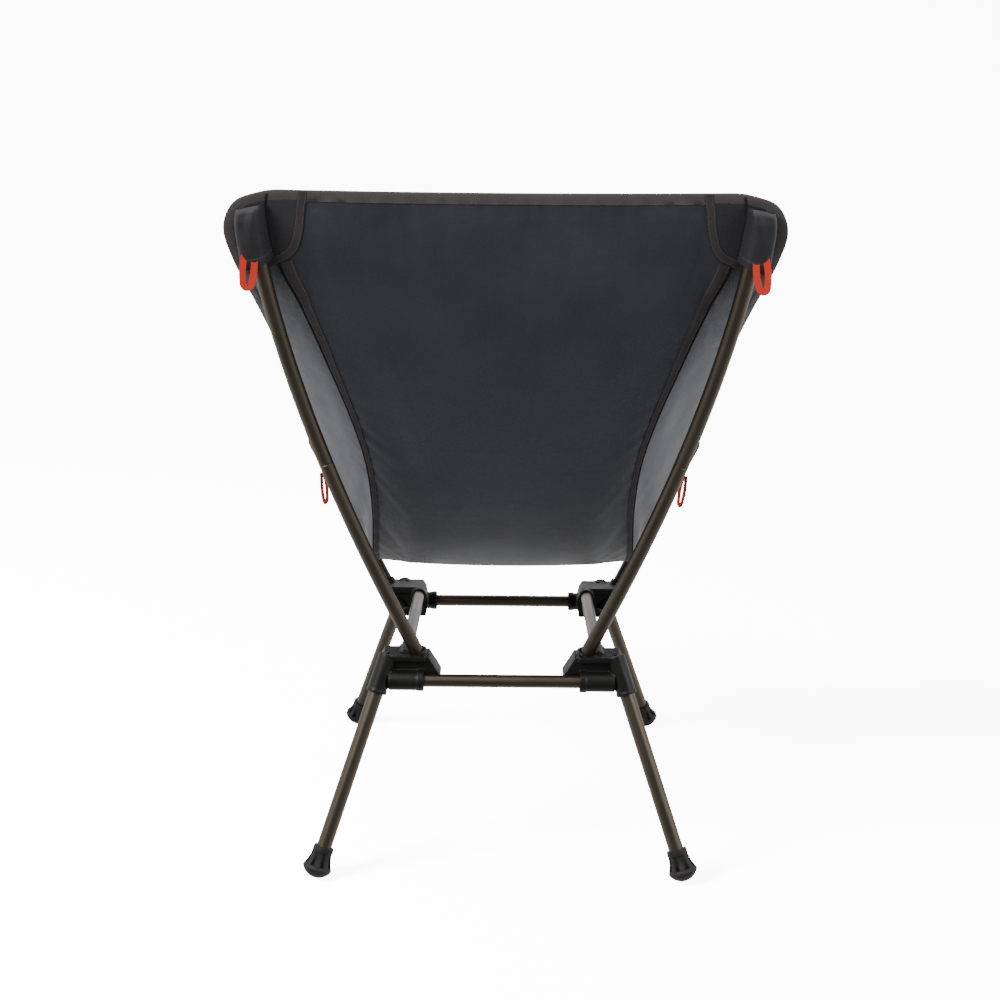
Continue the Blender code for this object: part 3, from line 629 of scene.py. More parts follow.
def round_corners(grid):
    """Rounds the sheet's four corners: its rim is relaxed near them, and the cloth inside follows."""
    rows, cols = grid.shape[:2]
    rim = [(0, k) for k in range(cols)] + [(j, cols - 1) for j in range(1, rows)]
    rim += [(rows - 1, k) for k in range(cols - 2, -1, -1)] + [(j, 0) for j in range(rows - 2, 0, -1)]
    path = np.array([grid[j, k] for j, k in rim])
    start = path.copy()
    corners = np.array([grid[0, 0], grid[0, -1], grid[-1, 0], grid[-1, -1]])
    near = np.min(np.linalg.norm(path[:, None] - corners[None], axis=2), axis=1)
    weight = np.clip(1 - near / 0.040, 0, 1)[:, None]
    for _ in range(30):
        middle = (np.roll(path, 1, 0) + np.roll(path, -1, 0)) / 2
        path = path + (middle - path) * 0.5 * weight
    moved = path - start
    flat = grid.reshape(-1, 3)
    active = np.where(np.linalg.norm(moved, axis=1) > 1e-5)[0]
    distance = np.linalg.norm(flat[:, None] - start[active][None], axis=2)
    pull = np.exp(-(distance / 0.010) ** 2)
    total = np.maximum(pull.sum(1), 1e-9)[:, None]
    reach = np.exp(-(distance.min(1) / 0.014) ** 2)[:, None]
    flat = flat + (pull @ moved[active]) / total * reach
    made = flat.reshape(grid.shape)
    for (j, k), point in zip(rim, path):
        made[j, k] = point
    return made


def folds(grid):
    """Soft pull lines of the stretched cloth, as small moves along its normals."""
    normal = grid_normals(grid)
    lift = np.zeros(grid.shape[:2])
    for (u0, v0), (u1, v1), width, height_m in FOLDS:
        for side in (1, -1):
            a, b = np.array((u0 * side, v0)), np.array((u1 * side, v1))
            scale = np.array((0.32, 0.95))
            points = np.stack(np.meshgrid(COLUMNS, ROWS), -1) * scale
            a, b = a * scale, b * scale
            t = np.clip(((points - a) @ (b - a)) / ((b - a) @ (b - a)), 0, 1)
            away = np.linalg.norm(points - (a + t[..., None] * (b - a)), axis=2)
            ends = np.sin(np.pi * np.clip(t, 0.02, 0.98)) ** 0.6
            lift += height_m * np.exp(-(away / width) ** 2) * ends
    return grid + normal * lift[..., None]


FOLDS = (((0.50, 0.14), (0.18, 0.30), 0.020, -0.0009), ((0.55, 0.17), (0.30, 0.42), 0.022, 0.0010),
         ((0.58, 0.24), (0.36, 0.60), 0.024, -0.0012), ((0.05, 0.02), (0.50, 0.05), 0.016, 0.0008),
         ((0.10, 0.372), (0.36, 0.366), 0.007, -0.0005), ((0.30, 0.50), (0.55, 0.62), 0.022, 0.0014),
         ((0.66, 0.24), (0.80, 0.62), 0.016, -0.0012), ((0.80, 0.24), (0.88, 0.60), 0.018, 0.0012))


def grid_normals(grid):
    along = np.gradient(grid, axis=0)
    across = np.gradient(grid, axis=1)
    normal = np.cross(across, along)
    return normal / np.maximum(np.linalg.norm(normal, axis=2), 1e-9)[..., None]


def settle(grid):
    """A short cloth simulation: the sheet is held at its rim and seams and hangs a little between them."""
    rows, cols = grid.shape[:2]
    flat = grid.reshape(-1, 3)
    faces = [(j * cols + k, j * cols + k + 1, (j + 1) * cols + k + 1, (j + 1) * cols + k)
             for j in range(rows - 1) for k in range(cols - 1)]
    mesh = bpy.data.meshes.new("settling")
    mesh.from_pydata([tuple(p) for p in flat], [], faces)
    obj = bpy.data.objects.new("settling", mesh)
    bpy.context.scene.collection.objects.link(obj)
    held = obj.vertex_groups.new(name="held")
    for j in range(rows):
        for k in range(cols):
            u, v = abs(COLUMNS[k]), ROWS[j]
            rim = u > 0.97 or v < 0.02 or v > 0.98 or abs(u - SEAM_U) < 0.012
            corner = (u > 0.50 and v < 0.17) or (u > 0.72 and v > 0.90)
            if rim or corner:
                held.add([j * cols + k], 1.0, "REPLACE")
    cloth = obj.modifiers.new("cloth", "CLOTH")
    cloth.settings.quality = 6
    cloth.settings.mass = 0.15
    cloth.settings.tension_stiffness = 12
    cloth.settings.compression_stiffness = 4
    cloth.settings.shear_stiffness = 6
    cloth.settings.bending_stiffness = 0.08
    cloth.settings.shrink_min = -0.012
    cloth.settings.vertex_group_mass = "held"
    cloth.settings.effector_weights.gravity = 0.6
    scene = bpy.context.scene
    for step in range(1, 19):
        scene.frame_set(step)
    graph = bpy.context.evaluated_depsgraph_get()
    result = obj.evaluated_get(graph)
    moved = np.array([v.co for v in result.data.vertices]).reshape(grid.shape) - grid
    scene.frame_set(1)
    bpy.data.objects.remove(obj, do_unlink=True)
    length = np.linalg.norm(moved, axis=2)
    cap = 0.0045
    moved *= (np.tanh(length / cap) * cap / np.maximum(length, 1e-9))[..., None]
    return grid + moved


class Surface:
    """Smooth lookup of the sling's surface: u across, v along, out away from the sitter."""

    def __init__(self, grid):
        self.grid = grid
        self.normal = grid_normals(grid)
        spread = np.linalg.norm(np.diff(grid, axis=0), axis=2).mean(1)
        self.along = np.concatenate([[0], np.cumsum(spread)])

    def weights(self, values, x):
        i = int(np.clip(np.searchsorted(values, x, side="right") - 1, 0, len(values) - 2))
        f = (x - values[i]) / (values[i + 1] - values[i])
        f = min(max(f, 0.0), 1.0)
        w = (-0.5 * f + f * f - 0.5 * f ** 3, 1 - 2.5 * f * f + 1.5 * f ** 3,
             0.5 * f + 2 * f * f - 1.5 * f ** 3, -0.5 * f * f + 0.5 * f ** 3)
        last = len(values) - 1
        return [min(max(i + n, 0), last) for n in (-1, 0, 1, 2)], np.array(w)

    def both(self, u, v):
        js, wv = self.weights(ROWS, v)
        ks, wu = self.weights(COLUMNS, u)
        block = np.outer(wv, wu)
        point = np.tensordot(block, self.grid[np.ix_(js, ks)], axes=([0, 1], [0, 1]))
        normal = np.tensordot(block, self.normal[np.ix_(js, ks)], axes=([0, 1], [0, 1]))
        return point, normal / np.linalg.norm(normal)

    def at(self, u, v, out=0.0):
        point, normal = self.both(u, v)
        return point + normal * out

    def metric(self, u, v):
        """How far it is, in metres, for a unit of u and of v."""
        e = 0.01
        du = (self.at(min(u + e, 1), v) - self.at(max(u - e, -1), v)) / (min(u + e, 1) - max(u - e, -1))
        dv = (self.at(u, min(v + e, 1)) - self.at(u, max(v - e, 0))) / (min(v + e, 1) - max(v - e, 0))
        return du, dv

    def step(self, u, v, move):
        """The (u, v) reached by a short move in metres from (u, v)."""
        du, dv = self.metric(u, v)
        a = np.array([[du @ du, du @ dv], [du @ dv, dv @ dv]])
        a[0, 0] *= 1.01
        a[1, 1] *= 1.01
        change = np.linalg.solve(a, np.array([du @ move, dv @ move]))
        most = 1.6 * np.linalg.norm(move) / np.sqrt(np.diag(a))
        change = np.clip(change, -most, most)
        return min(max(u + change[0], -1), 1), min(max(v + change[1], 0), 1)


# ---------------------------------------------------------------- cloth pieces
def slab(name, surface, us, vs, low, high, material, keep=None):
    """A thin closed sheet between two heights over the surface, on a grid of u and v."""
    rows, cols = len(vs), len(us)
    cells = [(j, k) for j in range(rows - 1) for k in range(cols - 1)
             if keep is None or keep((us[k] + us[k + 1]) / 2, (vs[j] + vs[j + 1]) / 2)]
    points, uvs = [], []
    for j in range(rows):
        for k in range(cols):
            point, normal = surface.both(us[k], vs[j])
            points += [point + normal * high, point + normal * low]
            place = (float(np.interp(vs[j], ROWS, surface.along)), us[k] * 0.26)
            uvs += [place, place]
    faces, rim = [], {}
    for j, k in cells:
        a, b, c, d = j * cols + k, j * cols + k + 1, (j + 1) * cols + k + 1, (j + 1) * cols + k
        faces.append((2 * d, 2 * c, 2 * b, 2 * a))
        faces.append((2 * a + 1, 2 * b + 1, 2 * c + 1, 2 * d + 1))
        for p, q in ((a, b), (b, c), (c, d), (d, a)):
            if (q, p) in rim:
                del rim[(q, p)]
            else:
                rim[(p, q)] = True
    for p, q in rim:
        faces.append((2 * p, 2 * q, 2 * q + 1, 2 * p + 1))
    return clean(add_mesh(name, points, faces, material, uvs))


def clean(obj):
    bm = bmesh.new()
    bm.from_mesh(obj.data)
    for loose in [v for v in bm.verts if not v.link_faces]:
        bm.verts.remove(loose)
    bmesh.ops.recalc_face_normals(bm, faces=bm.faces)
    bm.to_mesh(obj.data)
    bm.free()
    obj.data.shade_smooth()
    obj.data.set_sharp_from_angle(angle=math.radians(50))
    return obj


def resample(path, spacing, surface):
    """A (u, v) path through the given points, evenly spaced over the surface."""
    t = np.linspace(0, 1, 40 * (len(path) - 1) + 1)
    fine = catmull_rom([(u, v, 0) for u, v in path], t)[:, :2]
    points = np.array([surface.at(u, v) for u, v in fine])
    run = np.concatenate([[0], np.cumsum(np.linalg.norm(np.diff(points, axis=0), axis=1))])
    count = max(2, int(round(run[-1] / spacing)))
    wanted = np.linspace(0, run[-1], count + 1)
    return [(float(np.interp(w, run, fine[:, 0])), float(np.interp(w, run, fine[:, 1]))) for w in wanted]


def ribbon(name, surface, path, width, low, high, material, shift=0.0, spacing=0.004):
    """A tape sewn flat on the surface along a (u, v) path, shift metres to the left of it."""
    path = resample(path, spacing, surface)
    lanes = [-0.5, -0.47, -0.30, 0.0, 0.30, 0.47, 0.5]
    rise = [low, high - 0.0001, high, high, high, high - 0.0001, low]
    points, uvs = [], []
    run = 0.0
    previous = None
    for i, (u, v) in enumerate(path):
        a = surface.at(*path[max(i - 1, 0)])
        b = surface.at(*path[min(i + 1, len(path) - 1)])
        here, normal = surface.both(u, v)
        ahead = (b - a) / np.linalg.norm(b - a)
        left = np.cross(normal, ahead)
        if previous is not None:
            run += np.linalg.norm(here - previous)
        previous = here
        for lane, out in zip(lanes, rise):
            offset = shift + lane * width
            uu, vv = surface.step(u, v, left * offset)
            points.append(surface.at(uu, vv, out))
            uvs.append((run, lane * width))
    n = len(lanes)
    faces = []
    for i in range(len(path) - 1):
        for k in range(n):
            j = (k + 1) % n
            faces.append((i * n + k, i * n + j, (i + 1) * n + j, (i + 1) * n + k))
    faces.append(tuple(range(n)))
    faces.append(tuple(reversed(range((len(path) - 1) * n, len(path) * n))))
    return clean(add_mesh(name, points, faces, material, uvs))


def cordlike(name, surface, path, radius, out, material, spacing=0.004, sides=8):
    """A thin round piping along a (u, v) path."""
    path = resample(path, spacing, surface)
    centres = [Vector(surface.at(u, v, out)) for u, v in path]
    rings = [(f, radius, 0.0) for f in path_frames(centres)]
    return lathe(name, rings, sides, material)


def binding(name, surface, path, width, material, inward):
    """Tape folded over the sheet's rim; inward(u, v) is the way from the rim into the sheet."""
    path = resample(path, 0.004, surface)
    outline = ((-1.0, 0.60), (-0.96, 1.15), (-0.5, 1.30), (-0.06, 1.30), (0.04, 0.95), (0.09, 0.0),
               (0.04, -0.95), (-0.06, -1.30), (-0.5, -1.30), (-0.96, -1.15), (-1.0, -0.60))
    across = (1.0, 0.96, 0.5, 0.06, 0.0, -0.05, -0.08, 0.06, 0.5, 0.96, 1.0)
    points, uvs = [], []
    run = 0.0
    previous = None
    for i, (u, v) in enumerate(path):
        a = surface.at(*path[max(i - 1, 0)])
        b = surface.at(*path[min(i + 1, len(path) - 1)])
        here, normal = surface.both(u, v)
        ahead = (b - a) / np.linalg.norm(b - a)
        inside = np.cross(normal, ahead) * inward
        if previous is not None:
            run += np.linalg.norm(here - previous)
        previous = here
        for (x, out), place in zip(outline, across):
            if x < 0:
                uu, vv = surface.step(u, v, inside * -x * width)
                point, lean = surface.both(uu, vv)
            else:
                point, lean = here - inside * x * width, normal
            points.append(point + lean * out * 0.001)
            uvs.append((run, place * width))
    n = len(outline)
    faces = []
    for i in range(len(path) - 1):
        for k in range(n):
            j = (k + 1) % n
            faces.append((i * n + k, i * n + j, (i + 1) * n + j, (i + 1) * n + k))
    faces.append(tuple(range(n)))
    faces.append(tuple(reversed(range((len(path) - 1) * n, len(path) * n))))
    return clean(add_mesh(name, points, faces, material, uvs))


# ---------------------------------------------------------------- how the cloth follows the poles
REAR_REF, REAR_WAY = Vector((.1750, .2280 + CENTRING, .6450)), Vector((.74, .22, .63)).normalized()
FRONT_REF, FRONT_WAY = Vector((.1800, -.1760 + CENTRING, .3220)), Vector((.70, -.714, 0)).normalized()
REAR_STOPS = (-0.120, -0.085, -0.049, -0.012)
FRONT_STOPS = (-0.110, -0.055, 0.0)


def corner_zones():
    """Each corner's strips of cloth: (name, side, reference, way, from, to, bodies)."""
    for label, side in SIDES:
        ref, way = mirrored(REAR_REF, side), mirrored(REAR_WAY, side)
        chain = (ROOT, f"rear_upright_lower_{label}_body", f"rear_upright_upper_{label}_body",
                 f"rear_pocket_{label}_body")
        yield f"rear_{label}", side, ref, way, REAR_STOPS, chain
        ref, way = mirrored(FRONT_REF, side), mirrored(FRONT_WAY, side)
        chain = (ROOT, f"front_upright_{label}_body", f"front_pocket_{label}_body")
        yield f"front_{label}", side, ref, way, FRONT_STOPS, chain


def cut_rims(outlines):
    """Faces that close a cut strip: one for each loop of its open edges."""
    after = {}
    for outline in outlines:
        for a, b in zip(outline, outline[1:] + outline[:1]):
            if after.get(a, {}).pop(b, None) is None:
                after.setdefault(b, {})[a] = True
    caps = []
    while True:
        start = next((v for v in after if after[v]), None)
        if start is None:
            return caps
        loop, at = [], start
        while after.get(at):
            ahead = next(iter(after[at]))
            del after[at][ahead]
            loop.append(at)
            at = ahead
        if len(loop) > 2 and at == start and len(set(loop)) == len(loop):
            caps.append(loop)


def fit_cloth(obj, slot, *nodes):
    """Cuts a finished cloth piece across each corner into strips: the middle rides on the frame, each corner's last
    strip rides on the last body of its chain, and the strips between stay where they are.
    """
    bm = bmesh.new()
    bm.from_mesh(obj.data)
    zones = list(corner_zones())
    for _, side, ref, way, stops, _ in zones:
        reach = [(v.co - ref).dot(way) for v in bm.verts if v.co.x * side > -0.012]
        for stop in stops:
            if not reach or not min(reach) < stop < max(reach):
                continue
            faces = [f for f in bm.faces if f.verts[0].co.x * side > -0.012
                     and abs((f.verts[0].co - ref).dot(way) - stop) < 0.03]
            edges = list({e for f in faces for e in f.edges})
            verts = list({v for f in faces for v in f.verts})
            bmesh.ops.bisect_plane(bm, geom=faces + edges + verts, dist=1e-6,
                                   plane_co=ref + way * stop, plane_no=way)
    bm.normal_update()
    mark = bm.faces.layers.int.new("zone")
    names = {0: ("root", ROOT, None)}
    for face in bm.faces:
        centre = face.calc_center_median()
        for z, (zone, side, ref, way, stops, chain) in enumerate(zones):
            at = (centre - ref).dot(way)
            if centre.x * side > 0 and at > stops[0]:
                step = sum(at > s for s in stops)
                face[mark] = 1 + z * 8 + step
                names[1 + z * 8 + step] = (f"{zone}_{step}", zones[z], step)
                break
    whole = bpy.data.meshes.new("whole")
    bm.to_mesh(whole)
    bm.free()
    whole.shade_smooth()
    whole.set_sharp_from_angle(angle=math.radians(50))
    corner_normals = np.zeros(len(whole.loops) * 3, np.float32)
    whole.corner_normals.foreach_get("vector", corner_normals)
    corner_normals = corner_normals.reshape(-1, 3)
    marks = np.zeros(len(whole.polygons), np.int32)
    whole.attributes["zone"].data.foreach_get("value", marks)
    uv = np.zeros(len(whole.loops) * 2, np.float32)
    whole.uv_layers["UVMap"].data.foreach_get("uv", uv)
    uv = uv.reshape(-1, 2)
    pieces = []
    for number in sorted(set(marks.tolist())):
        picked = [p for p in whole.polygons if marks[p.index] == number]
        used = sorted({v for p in picked for v in p.vertices})
        renumber = {v: i for i, v in enumerate(used)}
        loops = [l for p in picked for l in p.loop_indices]
        outlines = [[renumber[v] for v in p.vertices] for p in picked]
        caps = cut_rims(outlines)
        mesh = bpy.data.meshes.new(obj.name)
        mesh.from_pydata([whole.vertices[v].co for v in used], [], outlines + caps)
        layer = mesh.uv_layers.new(name="UVMap")
        place = dict(zip((v for o in outlines for v in o), uv[loops]))
        cap_uv = [place[v] for c in caps for v in c]
        layer.data.foreach_set("uv", np.array(list(uv[loops]) + cap_uv, np.float32).ravel())
        mesh.materials.append(obj.data.materials[0])
        mesh.shade_smooth()
        first_cap = len(outlines)
        flat = [tuple(mesh.polygons[first_cap + i].normal) for i, c in enumerate(caps) for _ in c]
        mesh.normals_split_custom_set([tuple(n) for n in corner_normals[loops]] + flat)
        mesh.update()
        name, zone, step = names[number]
        piece = bpy.data.objects.new(f"{obj.name}_{name}", mesh)
        bpy.context.scene.collection.objects.link(piece)
        if number == 0:
            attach(piece, ROOT)
        else:
            _, side, ref, way, stops, chain = zone
            if step == len(stops):
                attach(piece, chain[-1])
            else:
                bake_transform(piece)
        pieces.append(piece)
    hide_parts(*nodes)
    bpy.data.objects.remove(obj, do_unlink=True)
    bpy.data.meshes.remove(whole)
    return pieces


# ---------------------------------------------------------------- the sewn sling
PATCH_EDGE = ((.5322, 0.0), (.5325, .020), (.5373, .0383), (.5425, .0767), (.5528, .110), (.5683, .135),
              (.5993, .1517), (.6522, .1617), (.7295, .1683), (.8100, .1730), (.9000, .1740), (.9650, .1730))
FRONT_PATCH_U, FRONT_PATCH_V = 0.74, 0.905


def inside_rear_patch(u, v):
    share = abs(u)
    us = [p[0] for p in PATCH_EDGE]
    vs = [p[1] for p in PATCH_EDGE]
    return share > us[0] and v < np.interp(share, us, vs)


def build_sling():
    surface = Surface(settle(folds(base_surface())))
    vs = list(np.linspace(0.004, 0.996, 150))
    main = slab("sling_main_panel", surface, list(np.linspace(-SEAM_U, SEAM_U, 72)), vs,
                -0.0005, 0.0005, "panel")
    pieces = {"main": fit_cloth(main, "panel", "main_panel")}
    for label, side in SIDES:
        us = [side * u for u in np.linspace(SEAM_U, 0.995, 24)]
        if side < 0:
            us.reverse()
        panel = slab(f"sling_side_panel_{label}", surface, us, vs, -0.0005, 0.0005, "side_panel")
        pieces[f"side_{label}"] = fit_cloth(panel, "side_panel", f"side_panel_{label}")
        us = [side * u for u in np.linspace(0.53, 0.99, 70)]
        if side < 0:
            us.reverse()
        patch = slab(f"sling_rear_patch_{label}", surface, us, list(np.linspace(0.004, 0.176, 60)),
                     0.0005, 0.0012, "patch", keep=inside_rear_patch)
        pieces[f"rear_patch_{label}"] = fit_cloth(patch, "patch", f"rear_corner_patch_{label}")
        us = [side * u for u in np.linspace(FRONT_PATCH_U, 0.99, 24)]
        if side < 0:
            us.reverse()
        patch = slab(f"sling_front_patch_{label}", surface, us, list(np.linspace(FRONT_PATCH_V, 0.996, 20)),
                     0.0005, 0.0012, "patch")
        pieces[f"front_patch_{label}"] = fit_cloth(patch, "patch", f"front_corner_patch_{label}")

        path = [(side * u, v) for u, v in PATCH_EDGE]
        edging = ribbon(f"sling_patch_tape_{label}", surface, path, 0.0078, 0.0008, 0.0017, "seam_tape")
        fit_cloth(edging, "seam_tape")
        path = [(side * FRONT_PATCH_U, 0.99), (side * FRONT_PATCH_U, 0.95), (side * FRONT_PATCH_U, FRONT_PATCH_V),
                (side * 0.80, FRONT_PATCH_V), (side * 0.90, FRONT_PATCH_V), (side * 0.98, FRONT_PATCH_V)]
        edging = ribbon(f"sling_front_patch_tape_{label}", surface, path, 0.0078, 0.0008, 0.0017, "seam_tape")
        fit_cloth(edging, "seam_tape")
        path = [(side * SEAM_U, v) for v in np.linspace(0.165, 0.99, 40)]
        felled = ribbon(f"sling_seam_tape_{label}", surface, path, 0.0082, 0.0003, 0.0013, "seam_tape",
                        shift=0.0052 * side)
        fit_cloth(felled, "seam_tape")
        piping = cordlike(f"sling_seam_piping_{label}", surface, path, 0.0009, 0.0007, "piping")
        fit_cloth(piping, "piping")
        path = [(side, v) for v in np.linspace(0.0, 1.0, 60)]
        edge = binding(f"sling_side_binding_{label}", surface, path, 0.0095, "binding", side)
        fit_cloth(edge, "binding", f"side_binding_{label}")
    path = [(u, 0.0) for u in np.linspace(-1, 1, 60)]
    fit_cloth(binding("sling_top_binding", surface, path, 0.0095, "binding", 1), "binding", "top_binding")
    path = [(u, 1.0) for u in np.linspace(-1, 1, 60)]
    fit_cloth(binding("sling_front_binding", surface, path, 0.0095, "binding", -1), "binding", "front_binding")
    return surface, pieces


def pouch(name, tip, up, width_axis, levels, material):
    """A sewn pocket over an upright's end, as rings of (height, half width, half depth)."""
    across = (width_axis - up * width_axis.dot(up)).normalized()
    deep = up.cross(across)
    sides, points, uvs = 56, [], []
    for level, half_w, half_d in levels:
        for i in range(sides):
            angle = 2 * math.pi * i / sides
            x, y = math.cos(angle), math.sin(angle)
            wobble = 1 + 0.012 * math.sin(5 * angle + level * 240)
            px = math.copysign(abs(x) ** 0.62, x) * half_w
            py = math.copysign(abs(y) ** 0.72, y) * half_d * wobble
            points.append(tip + up * level + across * px + deep * py)
            uvs.append((level, (min(i, sides - i) / sides - 0.25) * 0.084))
    faces = []
    for a in range(len(levels) - 1):
        for i in range(sides):
            j = (i + 1) % sides
            faces.append((a * sides + i, a * sides + j, (a + 1) * sides + j, (a + 1) * sides + i))
    faces.append(tuple(reversed(range(sides))))
    faces.append(tuple(range((len(levels) - 1) * sides, len(levels) * sides)))
    return clean(add_mesh(name, points, faces, material, uvs))


def pouch_levels(depth, half_w, half_d):
    """From inside the mouth, round the hem and up to the flat sewn top."""
    wall = 0.0012
    outer = [(-depth, half_w - 0.0002, half_d - 0.0002), (-depth + 0.0006, half_w + 0.0002, half_d + 0.0003),
             (-depth + 0.0060, half_w + 0.0002, half_d + 0.0003), (-depth + 0.0066, half_w - 0.0002, half_d - 0.0001),
             (-depth * 0.6, half_w - 0.0004, half_d - 0.0002), (-depth * 0.3, half_w - 0.0004, half_d),
             (0.0, half_w - 0.0006, half_d), (0.0035, half_w - 0.0010, half_d - 0.0010),
             (0.0060, half_w - 0.0014, half_d - 0.0030), (0.0082, half_w - 0.0020, half_d - 0.0055),
             (0.0092, half_w - 0.0030, 0.0014)]
    inner = [(0.0072, half_w - 0.0060, half_d - 0.0060), (0.0040, half_w - 0.0032, half_d - 0.0024),
             (0.0, half_w - wall - 0.0008, half_d - wall), (-depth, half_w - wall - 0.0004, half_d - wall)]
    return inner + outer


def sewn_pocket(name, surface, side, material):
    """The rear pole pocket: a fabric panel sewn down both sides of the pole's end, open at its hem."""
    rows, cols = 26, 34
    wall = 0.0011
    left = ((.925, .0270), (.893, .0900), (.884, .1560))
    right = ((.662, .0270), (.645, .0900), (.630, .1500))
    lift = ((0.0, .0150), (.08, .0186), (.25, .0206), (.60, .0228), (1.0, .0244))
    points, uvs = [], []
    for layer in (0, 1):
        for i in range(rows):
            t = i / (rows - 1)
            a = catmull_rom([(*p, 0) for p in left], np.array([t]))[0]
            b = catmull_rom([(*p, 0) for p in right], np.array([t]))[0]
            rise = float(np.interp(t, [p[0] for p in lift], [p[1] for p in lift]))
            hem = 0.0004 if t > 0.86 else 0.0
            for k in range(cols):
                q = k / (cols - 1)
                uv = a + (b - a) * q
                skew = q ** 0.92
                shape = max(0.0, 1 - abs(2 * skew - 1) ** 4.2) ** 0.55
                crease = 0.0007 * math.sin(q * 9 + t * 5) * shape * (1 - 0.7 * t)
                out = 0.0014 + (rise - 0.0014) * shape + hem * shape + crease - layer * wall * shape
                points.append(surface.at(side * uv[0], uv[1], out - layer * 0.0002))
                uvs.append((q * 0.052, (1 - t) * 0.036))
    n = rows * cols
    faces = []
    for i in range(rows - 1):
        for k in range(cols - 1):
            a, b, c, d = i * cols + k, i * cols + k + 1, (i + 1) * cols + k + 1, (i + 1) * cols + k
            faces += [(a, b, c, d), (n + d, n + c, n + b, n + a)]
    for k in range(cols - 1):
        faces.append((k, n + k, n + k + 1, k + 1))
        e = (rows - 1) * cols + k
        faces.append((e, e + 1, n + e + 1, n + e))
    for i in range(rows - 1):
        a, b = i * cols, (i + 1) * cols
        faces.append((a, b, n + b, n + a))
        a, b = a + cols - 1, b + cols - 1
        faces.append((a, n + a, n + b, b))
    return clean(add_mesh(name, points, faces, material, uvs))


def pull_loop(name, start, down, across, material):
    """A webbing pull: two runs side by side that open into a round end."""
    drop, width, thick = 0.0320, 0.0058, 0.0011
    path = []
    for t in np.linspace(0, 1, 14):
        spread = 0.0029 + 0.0021 * math.sin(math.pi * t * 0.80) ** 1.5
        half = spread
        path.append(start - across * spread + down * drop * t)
    for a in np.linspace(0, math.pi, 14)[1:-1]:
        path.append(start - across * (half * math.cos(a)) + down * (drop + half * 1.15 * math.sin(a)))
    for t in np.linspace(1, 0, 14):
        spread = 0.0029 + 0.0021 * math.sin(math.pi * t * 0.80) ** 1.5
        path.append(start + across * spread + down * drop * t)
    normal = down.cross(across).normalized()
    lanes = [(-1, -.6), (-.93, -1), (0, -.75), (.93, -1), (1, -.6), (1, .6), (.93, 1), (0, .75), (-.93, 1), (-1, .6)]
    points, uvs = [], []
    run = 0.0
    for i, point in enumerate(path):
        ahead = (path[min(i + 1, len(path) - 1)] - path[max(i - 1, 0)]).normalized()
        out = ahead.cross(normal)
        if i:
            run += (point - path[i - 1]).length
        lean = normal * (0.0012 * math.sin(math.pi * i / (len(path) - 1)) ** 2)
        for a, b in lanes:
            points.append(point + lean + out * a * width / 2 + normal * b * thick / 2)
            uvs.append((run, a * width / 2))
    n = len(lanes)
    faces = []
    for i in range(len(path) - 1):
        for k in range(n):
            j = (k + 1) % n
            faces.append((i * n + k, i * n + j, (i + 1) * n + j, (i + 1) * n + k))
    faces.append(tuple(range(n)))
    faces.append(tuple(reversed(range((len(path) - 1) * n, len(path) * n))))
    return clean(add_mesh(name, points, faces, material, uvs))


def build_pockets(surface):
    for label, side in SIDES:
        tip, up = tip_axis(side, 1)
        body = f"rear_pocket_{label}_body"
        pocket = sewn_pocket(f"rear_pocket_sleeve_{label}", surface, side, "sleeve")
        mount(pocket, body, "sleeve", f"rear_pole_pocket_{label}")
        path = [(side * u, v) for u, v in ((.650, .006), (.658, .030), (.645, .086), (.628, .142))]
        seam = cordlike(f"rear_pocket_seam_{label}", surface, path, 0.0007, 0.0016, "piping", 0.003)
        mount(seam, body, "piping")
        hem = at_origin(tip - up * 0.0240 + Vector((side * 0.0032, 0.0078, 0)))
        loop = pull_loop(f"rear_pull_{label}", hem, Vector((0.11 * side, 0.02, -1)).normalized(),
                         Vector((side, 0, 0)), "pull")
        mount(loop, body, "pull", f"rear_pull_loop_{label}")
        tip, up = tip_axis(side, -1)
        body = f"front_pocket_{label}_body"
        outward = mirrored((0.876, 0.169, -0.452), side)
        pocket = pouch(f"front_pocket_sleeve_{label}", at_origin(tip), up, up.cross(outward),
                       pouch_levels(0.0380, 0.0165, 0.0086), "patch")
        mount(pocket, body, "patch", f"front_pole_pocket_{label}")
        hem = at_origin(tip - up * 0.0385 + outward * 0.0094)
        loop = pull_loop(f"front_pull_{label}", hem, Vector((-0.12 * side, 0.05, -1)).normalized(),
                         Vector((0.45 * side, 0.89, 0)).normalized(), "pull")
        mount(loop, body, "pull", f"front_pull_loop_{label}")


def dress_cad():
    """The CAD pieces that stay as they are get their finished materials."""
    for name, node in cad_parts.items():
        if node.hide_render:
            continue
        for key, match in (("cord", "cord"), ("ferrule", "ferrule"), ("tip", "hub")):
            if key in name:
                for slot_item in node.material_slots:
                    slot_item.material = MATERIALS[match]


# ---------------------------------------------------------------- studio
def aim(obj, target):
    obj.rotation_euler = (Vector(target) - obj.location).to_track_quat("-Z", "Y").to_euler()


def softbox(name, location, target, size, power):
    light = bpy.data.lights.new(name, "AREA")
    light.shape = "RECTANGLE"
    light.size, light.size_y = size
    light.energy = power
    obj = bpy.data.objects.new(name, light)
    obj.location = location
    aim(obj, target)
    bpy.context.scene.collection.objects.link(obj)
    return obj


